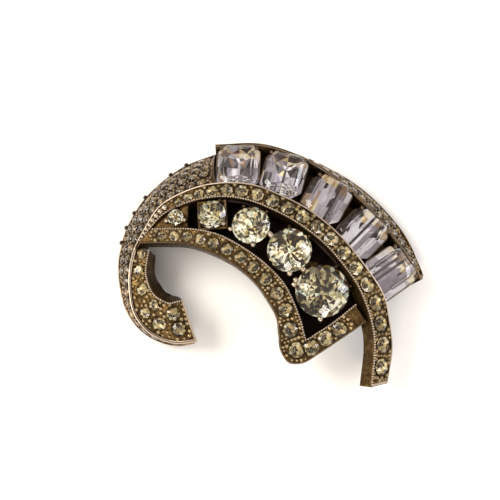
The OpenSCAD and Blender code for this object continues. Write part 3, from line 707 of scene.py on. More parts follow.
to_outer = unit(WINDOW[:, :3] - WINDOW[:, 3:6]) * TUB_WALL * 0.7
TUB = np.hstack([WINDOW[:, :3] + to_outer - [0, 0, TUB_DROP],
    WINDOW[:, 3:6] - to_outer - [0, 0, TUB_DROP]])
metal_piece("window_trough", pocket_metal, [trough(TUB, TUB_WALL, WINDOW_DEPTH - TUB_DROP,
    WINDOW_DEPTH - TUB_DROP + FLOOR)])
metal_piece("octagon_tray", gold_wash, [trough(TRAY, TRAY_WALL, OCT_PAVILION + FIT,
    OCT_PAVILION + FIT + FLOOR, lean=1.6, worn_rail=0.4)])

# %% [markdown]
# ## Places of the ten main stones
# The round stones grow from the tip of the window to its corner, and the
# octagons fan out along the tray. Each gets a small frame of its own, with x
# along the band, y to the outer edge and z off the surface.

# %% Frames of the main stones
ROUND_D = [3.0, 5.3, 7.0, 8.2, 9.8]
ROUND_START, ROUND_SPACE, ROUND_SPACE_TIP, ROUND_RISE = 4.6, 0.65, 2.6, 0.7
ROUND_CROWN = 0.16  # of the width
OCT_CLEAR = 4.2  # fits between an octagon and the tray's outer wall


def stone_frame(rows, s, a, n):
    """A place on a band as x, y and z directions and an origin, in millimetres."""
    centre, side, up, _ = band_frame(rows, s)
    o = centre[0] + side[0] * a + up[0] * n
    return {"x": unit(np.cross(side[0], up[0])), "y": side[0], "z": up[0], "o": o}


def placed(local, at):
    """Points of a stone's own frame, turned and moved to their place."""
    p = np.atleast_2d(local)
    return at["o"] + p[:, :1] * at["x"] + p[:, 1:2] * at["y"] + p[:, 2:3] * at["z"]


window_s = np.linspace(0, len(WINDOW) - 1, 81)
window_way = way_along(band_frame(WINDOW, window_s)[0])
ROUND_AT, way = [], ROUND_START
for i, d in enumerate(ROUND_D):
    if i:
        way += (ROUND_D[i - 1] + d) / 2 + ROUND_SPACE_TIP \
            + (ROUND_SPACE - ROUND_SPACE_TIP) * math.sqrt((i - 1) / 3)
    ROUND_AT.append(stone_frame(WINDOW, float(np.interp(way, window_way, window_s)), 0,
        ROUND_RISE - d * ROUND_CROWN))
OCT_AT = []
for i in range(5):
    s = (i + 0.5) * TRAY_FINE
    half = float(band_frame(TRAY, s)[3][0])
    OCT_AT.append(stone_frame(TRAY, s, half - OCT_L / 2 - TRAY_WALL - OCT_CLEAR * FIT, 0))
print("round stones at", [np.round(f["o"], 1).tolist() for f in ROUND_AT])

# %% [markdown]
# ## Round brilliants
# A brilliant has a flat table, stars, kites and halves on the crown. Behind,
# rings of points, each turned by half a step, give a net of small triangles,
# because one sees each back facet several times over in a real stone. It is
# built facet by facet, flat shaded, because smooth glass shows no fire.

# %% A brilliant, facet by facet
GLASS, FOIL = 0, 1
TABLE, KITE_R, GIRDLE = 0.56, 0.405, 0.012
FEW_RINGS = [(0.38, -0.12), (0.26, -0.2)]
MANY_RINGS = [(0.42, -0.09), (0.33, -0.155), (0.24, -0.23)]
LARGE = 6  # mm, from where a stone has more facets


def ring(n, r, z, turn=0.0):
    """Points round the axis, n of them at radius r and height z."""
    t = np.radians(np.arange(n) * 360 / n + turn)
    return np.stack([r * np.cos(t), r * np.sin(t), np.full(n, z)], 1)


def kinds(faces, clear):
    """Glass for the first faces and foil for the rest."""
    return [GLASS] * clear + [FOIL] * (len(faces) - clear)


def brilliant(n, back):
    """Points, faces and kinds of a stone one unit wide with n kites and some back rings."""
    m, turn = 2 * n, 180 / n
    verts = [ring(n, TABLE / 2, ROUND_CROWN), ring(n, KITE_R, ROUND_CROWN * 0.56, turn),
        ring(m, 0.5, GIRDLE), ring(m, 0.5, -GIRDLE)]
    verts += [ring(m, r, z, turn / 2 * (i + 1)) for i, (r, z) in enumerate(back)]
    verts += [ring(n, 0.14, -0.3), ring(n, 0.04, -0.355, turn)]
    faces = [list(range(n))]
    for k in range(n):
        kite, last_kite = n + k, n + (k - 1) % n
        g, h = m + 2 * k, m + (2 * k + 2) % m
        faces += [[k, kite, (k + 1) % n], [k, last_kite, g, kite], [kite, g, g + 1],
            [kite, g + 1, h], [g, g + m, g + m + 1, g + 1], [g + 1, g + m + 1, h + m, h]]
    clear = len(faces)
    s = 2 * m + m * len(back)
    for start in range(2 * m, s, m):
        for k in range(m):
            j = (k + 1) % m
            faces += [[start + k, start + j, start + m + k],
                [start + j, start + m + j, start + m + k]]
    for k in range(n):
        low, mid, high = s + (2 * k - 1) % m, s + 2 * k, s + 2 * k + 1
        p, q = s + m + k, s + m + (k + 1) % n
        faces += [[low, mid, p], [mid, high, q], [mid, q, p], [p, q, p + n], [q, q + n, p + n]]
    faces.append(list(range(s + m + n, s + 2 * m)))
    return np.vstack(verts), faces, kinds(faces, clear)


print("back facets:", brilliant(8, FEW_RINGS)[2].count(FOIL),
    brilliant(12, MANY_RINGS)[2].count(FOIL))

# %% [markdown]
# ## The light in a round stone
# The photograph shows where each round stone is bright, dark or white. A few
# glints per stone say so in words of right, up and tone, and chance adds the
# rest, so neighbouring facets differ as they do in cut glass.

# %% Glints and five round stones
# Each glint: right, up, tone, in shares of the stone's width.
GLINTS = [
    [(0.1, 0.1, 0.25), (-0.2, -0.2, 0.2), (0.2, -0.2, -0.3)],
    [(-0.15, 0.05, 0.5), (-0.02, -0.16, 0.5), (0.38, 0.13, 0.45), (0.05, 0.2, -0.45),
        (-0.1, -0.42, 0.4), (0.25, -0.12, -0.3), (-0.35, 0.2, -0.2)],
    [(-0.27, 0.02, 0.5), (-0.07, 0.19, 0.45), (0.03, 0.38, -0.25), (0.17, 0.1, -0.5),
        (0.3, 0, 0.1), (0.05, -0.22, 0.1), (-0.3, -0.3, 0.4), (0.27, -0.3, 0.4)],
    [(-0.25, 0.0, 0.4), (-0.08, -0.09, 0.35), (-0.3, 0.36, -0.45), (0.15, 0.17, -0.35),
        (0.27, 0.05, 0.45), (0.4, -0.13, 0.35), (0.08, -0.42, 0.4), (-0.22, -0.34, -0.35),
        (0.2, 0.4, 0.3)],
    [(-0.35, 0.1, 0.35), (-0.08, 0, 0.05), (0.22, -0.12, 0.5), (0.38, -0.15, 0.45),
        (0.34, 0.17, 0.25), (0.02, 0.15, -0.35), (0.13, 0.06, -0.3), (-0.05, -0.22, -0.45),
        (-0.12, 0.42, -0.4), (0.15, -0.4, 0.45), (-0.38, -0.22, -0.2), (-0.16, -0.4, 0.2)]]
GLINT_WIDTH = 0.10
LEVELS = [-0.5, -0.4, -0.2, 0.06, 0.32, 0.5]  # how light falls on back facets
ROUND_MEANS = [0.42, 0.24, 0.42, 0.40, 0.30]  # how bright each round stone is on the whole
DARKEST, ROUND_SEED = 0.02, 11


def facet_lights(verts, faces, glints, mean, rng):
    """A shade and a hue for each facet, from the glints near it and from chance."""
    middles = np.array([verts[f].mean(axis=0) for f in faces])
    light = np.full(len(faces), mean)
    for u, v, tone in glints:
        away = (middles[:, 0] - u)**2 + (middles[:, 1] - v)**2
        light += tone * np.exp(-away / GLINT_WIDTH**2 / 2)
    light += rng.choice(LEVELS, len(faces)) + rng.uniform(-0.05, 0.05, len(faces))
    hue = np.clip(rng.normal(0.35, 0.4, len(faces)), 0, 1)
    light[0], hue[0] = mean + 0.3, 0
    return np.clip(light, DARKEST, 1), hue


def main_stone(name, verts, faces, kind, materials, lights):
    """A large stone: flat facets, each with its own light."""
    shade, hue = lights
    return finish_mesh(name, verts, faces, materials, 0, {TINT: np.full(len(verts), 0.5)},
        {SHADE: shade, HUE: hue}, kind)


for i, (d, at) in enumerate(zip(ROUND_D, ROUND_AT)):
    verts, faces, kind = brilliant(12, MANY_RINGS) if d > LARGE else brilliant(8, FEW_RINGS)
    as_seen = verts[:, :1] * at["x"] + verts[:, 1:2] * at["y"] + verts[:, 2:3] * at["z"]
    lights = facet_lights(as_seen, faces, GLINTS[i], ROUND_MEANS[i],
        np.random.default_rng(i + ROUND_SEED))
    settle(main_stone(f"round_paste_{i + 1}", placed(verts * d, at), faces, kind,
        [champagne_glass, gold_foil], lights), "pale_stone", f"round_stone_{i + 1}")

# %% [markdown]
# ## Step-cut octagons
# The octagons are cut in steps, like an emerald: long flat facets that run
# parallel to the sides. The first two have a back of crossing triangles, and
# the other three have long strips behind, whose lines cross the whole stone.
# The foil is silver and the outer ends are painted warm, as a painted reflection of the strip.

# %% Two cuts of an octagon
CORNER_CUT = OCT_CORNER * math.sqrt(0.5)
CROWN_STEPS = [(0.66, 0.70, OCT_CROWN), (0.82, 0.85, OCT_CROWN * 0.66), (0.98, 0.985, 0.10),
    (1.0, 1.0, -0.06)]
CROSSED_STEPS = [(0.80, 0.83, 0.36), (0.56, 0.64, 0.66), (0.30, 0.46, 0.88), (0.06, 0.3, 1)]
CROWN = len(CROWN_STEPS) - 1
HALVES = [-1, 0, 1]
SIDE_AT, END_DEPTH = [-1, -0.3, 0.3, 0.7, 1], [0.6, 1, 1, 0.92, 0.6]
END_AT = [-1, -0.82, -0.62, -0.4, -0.2, 0, 0.22, 0.42, 0.6, 0.82, 1]
STRIP_DEPTH = [0.30, 0.48, 0.66, 0.82, 0.94, 1, 0.94, 0.8, 0.66, 0.48, 0.30]
SLANT = 0.16  # how far the ends of the strips run past each other


def octagon(kw, kl, z, side_at, end_at):
    """Points round an octagon with cut corners, at the given shares of its sides."""
    w, l, c = OCT_W * kw / 2, OCT_L * kl / 2, CORNER_CUT * kw
    side, end = [(l - c) * t for t in side_at], [(w - c) * t for t in end_at]
    points = [(w, y) for y in side] + [(w - c / 2, l - c / 2)] + [(x, l) for x in end[::-1]]
    points += [(c / 2 - w, l - c / 2)] + [(-w, y) for y in side[::-1]]
    points += [(c / 2 - w, c / 2 - l)] + [(x, -l) for x in end] + [(w - c / 2, c / 2 - l)]
    return [(x, y, z) for x, y in points]


def join_rings(count, m, first):
    """Faces between rings of m points, as they follow each other in a list."""
    return [[r * m + j, (r + 1) * m + j, (r + 1) * m + (j + 1) % m, r * m + (j + 1) % m]
        for r in range(first, first + count) for j in range(m)]


def crossed_cut():
    """An octagon with a back of triangles, which shows as crossing lines."""
    rings = [octagon(kw, kl, z, HALVES, HALVES) for kw, kl, z in CROWN_STEPS]
    rings += [octagon(kw, kl, -OCT_PAVILION * k, HALVES, HALVES)
        for kw, kl, k in CROSSED_STEPS]
    m = len(rings[0])
    clear = [list(range(m))] + join_rings(CROWN, m, 0)
    back = []
    for k, (a, b, c, d) in enumerate(join_rings(len(CROSSED_STEPS), m, CROWN)):
        back += [[a, b, d], [b, c, d]] if (k + k // m) % 2 else [[a, b, c], [a, c, d]]
    back.append(list(range((len(rings) - 1) * m, len(rings) * m)))
    return np.array(sum(rings, []), float), clear + back, len(clear)


def stepped_cut():
    """An octagon with long strips behind, which run from end to end."""
    rings = [octagon(kw, kl, z, SIDE_AT, END_AT) for kw, kl, z in CROWN_STEPS]
    m, nx, ny = len(rings[0]), len(END_AT), len(SIDE_AT)
    verts = sum(rings, [])
    clear = [list(range(m))] + join_rings(CROWN, m, 0)
    rim, inner = CROWN * m, len(verts)
    w, l = OCT_W / 2 - CORNER_CUT, OCT_L / 2 - CORNER_CUT
    verts += [(w * END_AT[i],
        l * (SIDE_AT[j] + (SLANT * math.sin(2.4 * i + 1.9 * j) if 0 < j < ny - 1 else 0)),
        -OCT_PAVILION * STRIP_DEPTH[i] * END_DEPTH[j]) for i in range(nx) for j in range(ny)]

    def at(i, j):
        """The point of column i and row j; column and row -1 and n lie on the rim."""
        if 0 <= i < nx and 0 <= j < ny:
            return inner + i * ny + j
        if i == nx:
            return rim + (j if 0 <= j < ny else ny if j == ny else m - 1)
        if j == ny:
            return rim + (ny + nx - i if i >= 0 else ny + nx + 1)
        if i == -1:
            return rim + (ny + nx + 2 + (ny - 1 - j) if j >= 0 else 2 * ny + nx + 2)
        return rim + 2 * ny + nx + 3 + i

    back = [[at(i, j), at(i, j + 1), at(i + 1, j + 1), at(i + 1, j)]
        for i in range(-1, nx) for j in range(-1, ny)]
    return np.array(verts, float), clear + back, len(clear)


print("facets of the two cuts:", len(crossed_cut()[1]), len(stepped_cut()[1]))

# %% [markdown]
# ## The light in an octagon
# An octagon is calmer than a brilliant. In the stepped cut most facets of a column share one
# tone, which draws the long lines, and a few are dark or white. The last third, towards the
# strip, turns amber and its crown darker: a painted reflection of the strip.

# %% Five octagons
TONES = [0.08, 0.34, 0.5, 0.6, 0.74, 1.0]
OFTEN = [0.15, 0.14, 0.21, 0.18, 0.15, 0.17]
COLUMNS = 16  # tones for the columns of a stepped cut
OCT_SEED = 3
OCT_LIFT = [-0.08, -0.17, -0.04, -0.10, -0.14]  # how much brighter each octagon is
LONGER, OUTWARDS = [1.05, 1.07, 1], [0, 0.22, 0]  # the drawn stones reach nearer to the strip


def step_lights(verts, faces, kind, crossed, lift, rng):
    """Mostly calm lavender steps, a few dark or white ones, warm ones at the outer end as a
    painted reflection of the strip.
    """
    middles = np.array([verts[f].mean(axis=0) for f in faces])
    count = len(faces)
    light = rng.choice(TONES, count, p=OFTEN) + rng.uniform(-0.05, 0.05, count)
    if crossed:
        light += rng.choice([-0.22, 0, 0.22], count)
    else:
        columns = np.round(middles[:, 0] * 2).astype(int) % COLUMNS
        whole = rng.choice(TONES, COLUMNS, p=OFTEN)[columns]
        light = np.where(rng.uniform(0, 1, count) < 0.7, whole, light)
    # The outer end is painted warm and its crown darker: a painted reflection of the strip.
    outer = np.clip((middles[:, 1] / OCT_L - 0.18) / 0.16, 0, 1)
    warm = rng.uniform(0, 1, count) < 0.06 + 0.7 * outer
    hue = np.where(warm, rng.uniform(0.6, 1, count), 0.06)
    glass = np.array(kind) == GLASS
    light[glass] = 0.66 + rng.uniform(-0.12, 0.12, glass.sum()) - 0.16 * outer[glass]
    hue[glass] *= 0.6
    light[0], hue[0] = 0.68, 0.05
    return np.clip(light + lift, DARKEST, 1), hue


for i, at in enumerate(OCT_AT):
    verts, faces, clear = crossed_cut() if i < 2 else stepped_cut()
    kind = kinds(faces, clear)
    rng = np.random.default_rng(i + OCT_SEED)
    lights = step_lights(verts, faces, kind, i < 2, OCT_LIFT[i], rng)
    settle(main_stone(f"octagon_paste_{i + 1}", placed(verts * LONGER + OUTWARDS, at), faces,
        kind, [water_glass, silver_foil], lights), "clear_stone", f"octagon_stone_{i + 1}")

# %% [markdown]
# ## Plates in the window
# The window is shallow at its tip, where a gold plate carries the first round
# stone. The second stands on a square gold plate, whose corners show beside it.
# Both are skins over a few rings, like the bands, painted darker towards their feet as shade.

# %% Tip plate and square seat
TIP_WAY = 6.7  # mm along the window
TIP_SECTION = [(-1, -2.6), (1, -2.6), (1, -0.85), (0, -0.7), (-1, -0.85)]  # half, height
TIP_RINGS, TIP_FIT = 14, 0.96  # rings, and share of the window's width
SEAT_HALF, SEAT_TURN = 2.8, 3  # mm and degrees

tip_end = float(np.interp(TIP_WAY, window_way, window_s))
at = band_frame(WINDOW, np.linspace(0.02, tip_end, TIP_RINGS))
wide, high = np.array(TIP_SECTION).T
points = sections(at, at[3][:, None] * TIP_FIT * wide, np.tile(high, (TIP_RINGS, 1)))
metal_piece("window_tip_plate", gold_wash, [(points, [0.15] * TIP_RINGS,
    np.tile([0.9, 0.9, 0.4, 0.1, 0.4], (TIP_RINGS, 1)))])

at = ROUND_AT[1]
turns = np.radians(np.arange(4) * 90 + 45 + SEAT_TURN)
rings = []
for half_side, z in [(SEAT_HALF - 0.3, -3.2), (SEAT_HALF, -0.7), (SEAT_HALF - 0.12, -0.52),
        (SEAT_HALF - 0.45, -0.56), (1.0, -2.4)]:
    flat = np.stack([np.cos(turns), np.sin(turns)], 1) * half_side * math.sqrt(2)
    local = [[p[0] * at["x"][0] + p[1] * at["x"][1], p[0] * at["y"][0] + p[1] * at["y"][1], z]
        for p in flat]
    rings.append(placed(local, at))
metal_piece("square_seat", gold_wash, [(np.array(rings), [0, 0.2, 0.25, 0.2, 0],
    [0.8, 0.2, 0.05, 0.2, 0.9])], 30)

# %% [markdown]
# ## Prongs of the round stones
# The round stones are held by prongs that stand on the floor of the pocket and end in a drop
# of metal. A prong is a stem of rings that follow a path and close with a round tip. The near
# ones are painted bright as a highlight, and the far ones are flatter and painted dark as
# shade; each stem is painted darker towards its foot, as shade.

# %% Stems and drops
STEM = 0.34  # mm, the radius of a prong
# Where the drops are painted bright round each stone, as a highlight, in degrees from x
# towards the far side, and where a flatter claw, painted dark as shade, holds the stone from
# above.
HIGHLIGHT_TURNS = [[-19, 201], [-41], [-84, -25, 190], [-90, -56, 140], [157, -94, 167]]
SHADED_TURNS = [[90], [60, 140], [40, 110], [35, 90], [10, 60]]
PRONG_BEADS = [0.40, 0.42, 0.46, 0.56, 0.56]


def tapered_stem(path, radii, sides=10):
    """A closed stem through points, with a radius at each of them."""
    path = np.asarray(path, float)
    ahead = unit(np.gradient(path, axis=0))
    u = unit(np.cross(ahead, [0.3, 0.2, 0.9]))
    v = np.cross(ahead, u)
    t = np.radians(np.arange(sides) * 360 / sides)
    return np.array([p + r * (np.cos(t)[:, None] * a + np.sin(t)[:, None] * b)
        for p, r, a, b in zip(path, radii, u, v)])


def drop_tip(base, tip, top, bead):
    """The path and radii of a prong: a stem, a neck and a round drop at its end."""
    up = unit(top - tip)
    path = [base, base + (tip - base) * 0.5, tip - up * 0.15]
    radii = [STEM * 1.1, STEM, STEM * 0.85]
    for k in np.linspace(-0.8, 1, 7):
        path.append(top + up * bead * (k - 0.4))
        radii.append(max(bead * math.sqrt(max(1 - k * k, 0)), 0.03))
    return np.array(path), radii


parts = []
for i, (d, at) in enumerate(zip(ROUND_D, ROUND_AT)):
    reach, foot = d / 2 + 0.42, WINDOW_DEPTH + ROUND_RISE - d * ROUND_CROWN
    for turn in HIGHLIGHT_TURNS[i] + SHADED_TURNS[i]:
        dark = turn in SHADED_TURNS[i]
        flat = np.array([math.cos(math.radians(turn)), math.sin(math.radians(turn)), 0])
        local = unit(np.array([flat @ at["x"], flat @ at["y"]]))
        base, tip, top = (placed([*(local * (reach + out)), z], at)[0] for out, z in
            ((0.1, -foot), (-0.08, 0.1), (-0.14, 0.2 if dark else 0.42)))
        path, radii = drop_tip(base, tip, top, STEM if dark else PRONG_BEADS[i])
        # Bright drops carry a painted highlight; the dark claws and each stem's foot carry
        # painted shade.
        parts.append((tapered_stem(path, radii), [0, 0.1, 0.2] + [0.1 if dark else 0.7] * 7,
            [1, 0.8, 0.6] + [0.85 if dark else 0.1] * 7))
metal_piece("prong_drops", bare_alloy, parts, 60)

# %% [markdown]
# ## Claws and walls of the octagons
# Thin walls part the octagons, and a claw folds over each outer corner: a stem
# of shrinking rings, bent over the stone.

# %% Claws and thin walls
CLAW_PATH = [(0.75, -2.4), (0.62, -0.6), (0.56, 0.15), (0.38, 0.48), (0.12, 0.66), (-0.1, 0.7)]
CLAW_RADII = [0.42, 0.4, 0.38, 0.36, 0.28, 0.05]
WALL_FROM, WALL_TO, WALL_FOOT = 0.22, 0.42, -2.6  # mm off the stone's side, and down

claws, walls = [], []
for at in OCT_AT:
    for side in (-1, 1):
        corner = np.array([side * (OCT_W - CORNER_CUT) / 2, (OCT_L - CORNER_CUT) / 2])
        out = np.array([side, 1]) / math.sqrt(2)
        path = [placed([*(corner + out * r), z], at)[0] for r, z in CLAW_PATH]
        # The claw is painted darker towards its foot: painted shade.
        claws.append((tapered_stem(path, CLAW_RADII), [0, 0, 0.1, 0.2, 0.3, 0.3],
            [0.9, 0.8, 0.6, 0.45, 0.35, 0.35]))
        inner, outer = side * (OCT_W / 2 + WALL_FROM), side * (OCT_W / 2 + WALL_TO)
        rings = [placed([[inner, y, WALL_FOOT], [outer, y, WALL_FOOT], [outer, y, 0.1],
            [outer - side * 0.08, y, 0.2], [inner + side * 0.08, y, 0.2], [inner, y, 0.1]], at)
            for y in np.linspace(-(OCT_L / 2 - CORNER_CUT), OCT_L / 2 - CORNER_CUT, 9)]
        walls.append((np.array(rings), [0.35] * 9, [0.35] * 9))
metal_piece("octagon_claws", grey_gold, claws, 60)
metal_piece("octagon_walls", bare_alloy, walls, 50)

# %% [markdown]
# ## Rim beads, end rails and studs
# A few blunt beads stand on the crescent's free edge, a rubbed rail closes the
# open ends of the hook and of the tail, and two studs under the window carry
# the clip. Beads and studs are turned from a short profile, so they are round
# without being a stock sphere or cylinder.

# %% Turned forms
RIM_BEAD_ROWS, RIM_BEAD = [7.3, 7.9, 8.4, 8.9, 9.7, 10.15], 0.45
STRAP_T, CLOTH_GAP = 0.9, 1.4  # mm, the metal of the strap and the room for cloth
STUD_AT, STUD_R, STUD_SIDES = (2.9, 4.3), 2, 32
END_RINGS, END_R, END_HEIGHT = 9, 0.24, -0.14


def turned(at, up, profile, sides=14):
    """A closed form turned round an axis, from (radius, height) pairs."""
    up = unit(np.asarray(up, float))
    u = unit(np.cross(up, [0.2, 0.9, 0.1]))
    v = np.cross(up, u)
    t = np.radians(np.arange(sides) * 360 / sides)
    return np.array([at + up * z + r * (np.cos(t)[:, None] * u + np.sin(t)[:, None] * v)
        for r, z in profile])


parts = []
profile = [(RIM_BEAD * math.cos(t) + 0.002, RIM_BEAD * math.sin(t))
    for t in np.linspace(-1.5, 1.5, 9)]
for s in RIM_BEAD_ROWS:
    centre, side, up, half = band_frame(CRESCENT, s)
    parts.append((turned(centre[0] + side[0] * (half[0] - 0.11), up[0] + side[0], profile),
        [0.1] * 4 + [0.5] * 5, [0.5] * 5 + [0.2] * 4))
metal_piece("rim_beads", pocket_metal, parts, 60)

parts = []
for rows, s in ((HOOK, 0.05), (MIDDLE, len(MIDDLE) - 1.05)):
    half = float(band_frame(rows, s)[3][0]) - 0.2
    path = on_band(rows, np.full(END_RINGS, s), np.linspace(-half, half, END_RINGS),
        np.full(END_RINGS, END_HEIGHT))
    parts.append((tapered_stem(path, [END_R] * END_RINGS, 8), [0.8] * END_RINGS,
        [0.1] * END_RINGS))
metal_piece("end_rails", gold_wash, parts, 60)

strap_top = 2 * STRAP_T + CLOTH_GAP + FIT
parts = []
for s in STUD_AT:
    half = float(band_frame(WINDOW, s)[3][0])
    x, y, z = on_band(WINDOW, s, half * 0.35, -WINDOW_DEPTH - FLOOR)[0]
    profile = [(STUD_R - 0.1, strap_top), (STUD_R, strap_top + 0.1),
        (STUD_R, strap_top + 0.6), (STUD_R - 0.05, z + FLOOR)]
    # The stud is painted darker where it meets the pocket: painted shade.
    parts.append((turned(np.array([x, y, 0]), [0, 0, 1], profile, STUD_SIDES),
        [0.5, 0.6, 0.3, 0.1], [0.2, 0.1, 0.3, 0.5]))
metal_piece("clip_studs", gold_wash, parts, 50)

# %% [markdown]
# ## Setting pieces with Geometry Nodes
# Stones, bezel rings and grains are the same few shapes set hundreds of times,
# each turned to its own surface. A tree does this: it puts a shape on every
# point, turns it by the stored directions, scales it by the stored width and
# gives each its own random tint. The tree ends in real geometry, because the
# export drops instances.

# %% The setting tree


def new_tree(name, inputs):
    """A tree that takes a mesh and some named inputs, and its input sockets."""
    tree = bpy.data.node_groups.new(name, "GeometryNodeTree")
    add = tree.interface.new_socket
    for key, kind in {"Geometry": "Geometry", **inputs}.items():
        add(key, in_out="INPUT", socket_type="NodeSocket" + kind)
    add("Geometry", in_out="OUTPUT", socket_type="NodeSocketGeometry")
    return tree, add_node(tree, "NodeGroupInput").outputs


def setting_tree():
    """Points with up, side and width become set shapes with a random tint."""
    tree, given = new_tree("set_on_surface", {"Shape": "Object", "Growth": "Float",
        "Seed": "Int", "Finish": "Material", "Back": "Material"})
    up, side = (add_node(tree, "GeometryNodeInputNamedAttribute",
        {"data_type": "FLOAT_VECTOR"}, {"Name": key}).outputs["Attribute"]
        for key in ("up", "side"))
    width, backed = (add_node(tree, "GeometryNodeInputNamedAttribute",
        {"data_type": "FLOAT"}, {"Name": key}).outputs["Attribute"]
        for key in ("width", "backed"))
    turn = add_node(tree, "FunctionNodeAxesToRotation", {"primary_axis": "Z",
        "secondary_axis": "X"}, {"Primary Axis": up, "Secondary Axis": side}).outputs[0]
    size = add_node(tree, "ShaderNodeMath", {"operation": "MULTIPLY"},
        {0: width, 1: given["Growth"]}).outputs[0]
    shape = add_node(tree, "GeometryNodeObjectInfo", {"transform_space": "ORIGINAL"},
        {"Object": given["Shape"]}).outputs["Geometry"]
    put = add_node(tree, "GeometryNodeInstanceOnPoints", None, {"Points": given["Geometry"],
        "Instance": shape, "Rotation": turn, "Scale": size}).outputs["Instances"]
    chance = add_node(tree, "FunctionNodeRandomValue", {"data_type": "FLOAT"},
        {"Seed": given["Seed"]}).outputs[1]
    tinted = add_node(tree, "GeometryNodeStoreNamedAttribute", {"data_type": "FLOAT",
        "domain": "INSTANCE"}, {"Geometry": put, "Name": TINT, "Value": chance}).outputs[0]
    real = add_node(tree, "GeometryNodeRealizeInstances", None, {"Geometry": tinted})
    whole = add_node(tree, "GeometryNodeSetMaterial", None, {"Geometry": real.outputs[0],
        "Material": given["Finish"]}).outputs[0]
    is_back = add_node(tree, "FunctionNodeCompare", {"data_type": "FLOAT",
        "operation": "GREATER_THAN"}, {0: backed, 1: 0.5}).outputs[0]
    done = add_node(tree, "GeometryNodeSetMaterial", None, {"Geometry": whole,
        "Selection": is_back, "Material": given["Back"]}).outputs[0]
    add_node(tree, "NodeGroupOutput", None, {0: done})
    return tree


def run_tree(name, source, tree, values, slot, *nodes):
    """Runs a tree on a mesh with its named inputs set, and keeps the plain result."""
    maker = show(name + "_maker", source)
    modifier = maker.modifiers.new("set", "NODES")
    modifier.node_group = tree
    for item in tree.interface.items_tree:
        if item.item_type == "SOCKET" and item.in_out == "INPUT" and item.name in values:
            modifier[item.identifier] = values[item.name]
    graph = bpy.context.evaluated_depsgraph_get()
    mesh = bpy.data.meshes.new_from_object(maker.evaluated_get(graph),
        preserve_all_data_layers=True, depsgraph=graph)
    bpy.data.objects.remove(maker)
    mesh.name = name
    return settle(show(name, mesh), slot, *nodes)


def point_mesh(centre, up, side, width):
    """A mesh of loose points that carry their directions and widths."""
    mesh = bpy.data.meshes.new("points")
    mesh.from_pydata((np.asarray(centre) * MM).tolist(), [], [])
    store(mesh, "POINT", {"up": up, "side": side, "width": width})
    return mesh


SETTING = setting_tree()
print("setting tree:", len(SETTING.nodes), "nodes")

# %% [markdown]
# ## The small stones
# One small brilliant, one unit wide, is set on every point read from the
# packed fields, drawn a little wider than its solid so that it fills its seat.
# Its facets are few, because it is repeated more than a hundred times. Facets
# beside each other catch the light in turn, which draws a star. Each stone is
# turned by a random number of eighths, so its neighbours flash otherwise.

# %% Set the small stones
STAR = 0.27  # how much lighter or darker neighbouring facets are
SMALL_MEAN, SMALL_GLINTS = 0.42, [(-0.15, 0.12, 0.25), (0.2, -0.1, -0.2)]
SMALL_SEED, SPIN_SEED, TINT_SEED = 5, 40, 20
# For each field: how much wider the stones are drawn, their glass and their foil.
SMALL = {
    "crescent": (1.04, dulled_glass, dulled_foil), "strip": (1.04, dulled_glass, dulled_foil),
    "middle_band": (1.24, golden_glass, golden_foil),
    "lower_band": (1.24, golden_glass, golden_foil), "hook": (1.15, golden_glass, golden_foil)}


def single_cut():
    """A small stone one unit wide: table, two rings of triangles, a pointed back."""
    n, turn = SIDES, 180 / SIDES
    verts = np.vstack([ring(n, 0.29, 0.17), ring(n, 0.5, 0.02, turn),
        ring(n, 0.5, -0.02, turn), ring(n, 0.27, -0.17), ring(n, 0.03, -0.3, turn)])
    faces = [list(range(n))]
    for k in range(n):
        j = (k + 1) % n
        faces += [[k, n + k, j], [j, n + k, n + j], [n + k, 2 * n + k, 2 * n + j, n + j]]
    clear = len(faces)
    for k in range(n):
        j = (k + 1) % n
        faces += [[2 * n + k, 3 * n + j, 2 * n + j], [2 * n + k, 3 * n + k, 3 * n + j],
            [3 * n + k, 4 * n + k, 3 * n + j], [3 * n + j, 4 * n + k, 4 * n + j]]
    faces.append(list(range(4 * n, 5 * n)))
    return verts, faces, kinds(faces, clear)


verts, faces, kind = single_cut()
shade, hue = facet_lights(verts, faces, SMALL_GLINTS, SMALL_MEAN,
    np.random.default_rng(SMALL_SEED))
shade = np.clip(shade + STAR * np.where(np.arange(len(faces)) % 2, -1, 1), DARKEST, 1)
small_stone = finish_mesh("small_paste_shape", verts, faces, [], 0, {},
    {SHADE: shade, HUE: hue * 0.6, "backed": kind})
for seed, (band, field) in enumerate(FIELDS.items()):
    growth, glass, back = SMALL[band]
    # An eight-sided stone looks the same when it turns by an eighth, but flashes otherwise.
    spin = np.random.default_rng(SPIN_SEED + seed).integers(0, SIDES, len(field["width"]))
    spin = spin[:, None] * math.pi / 4
    across = np.cross(field["up"], field["corner"])
    side = field["corner"] * np.cos(spin) + across * np.sin(spin)
    run_tree(band + "_paste", point_mesh(field["centre"], field["up"], side, field["width"]),
        SETTING, {"Shape": small_stone, "Growth": growth, "Seed": TINT_SEED + seed,
        "Finish": glass, "Back": back}, "pale_stone", band + "_stones")
bpy.data.objects.remove(small_stone)

# %% [markdown]
# ## Bezel rings and grains
# Each small stone sits in a ring of metal painted dark all round, as old polish and painted
# shade, and round it the jeweller raises grains, small beads pushed up from the plate: rubbed
# alloy on the crescent, golden on the rest. Their roots are painted dark as shade. Candidates
# stand all over the plate. Those far from every stone are dropped, and so are those that would
# touch a stone, a rail or another grain, which leaves them in the gaps as real grains are. The
# narrow start of the middle band has no stones, only a row of growing beads.

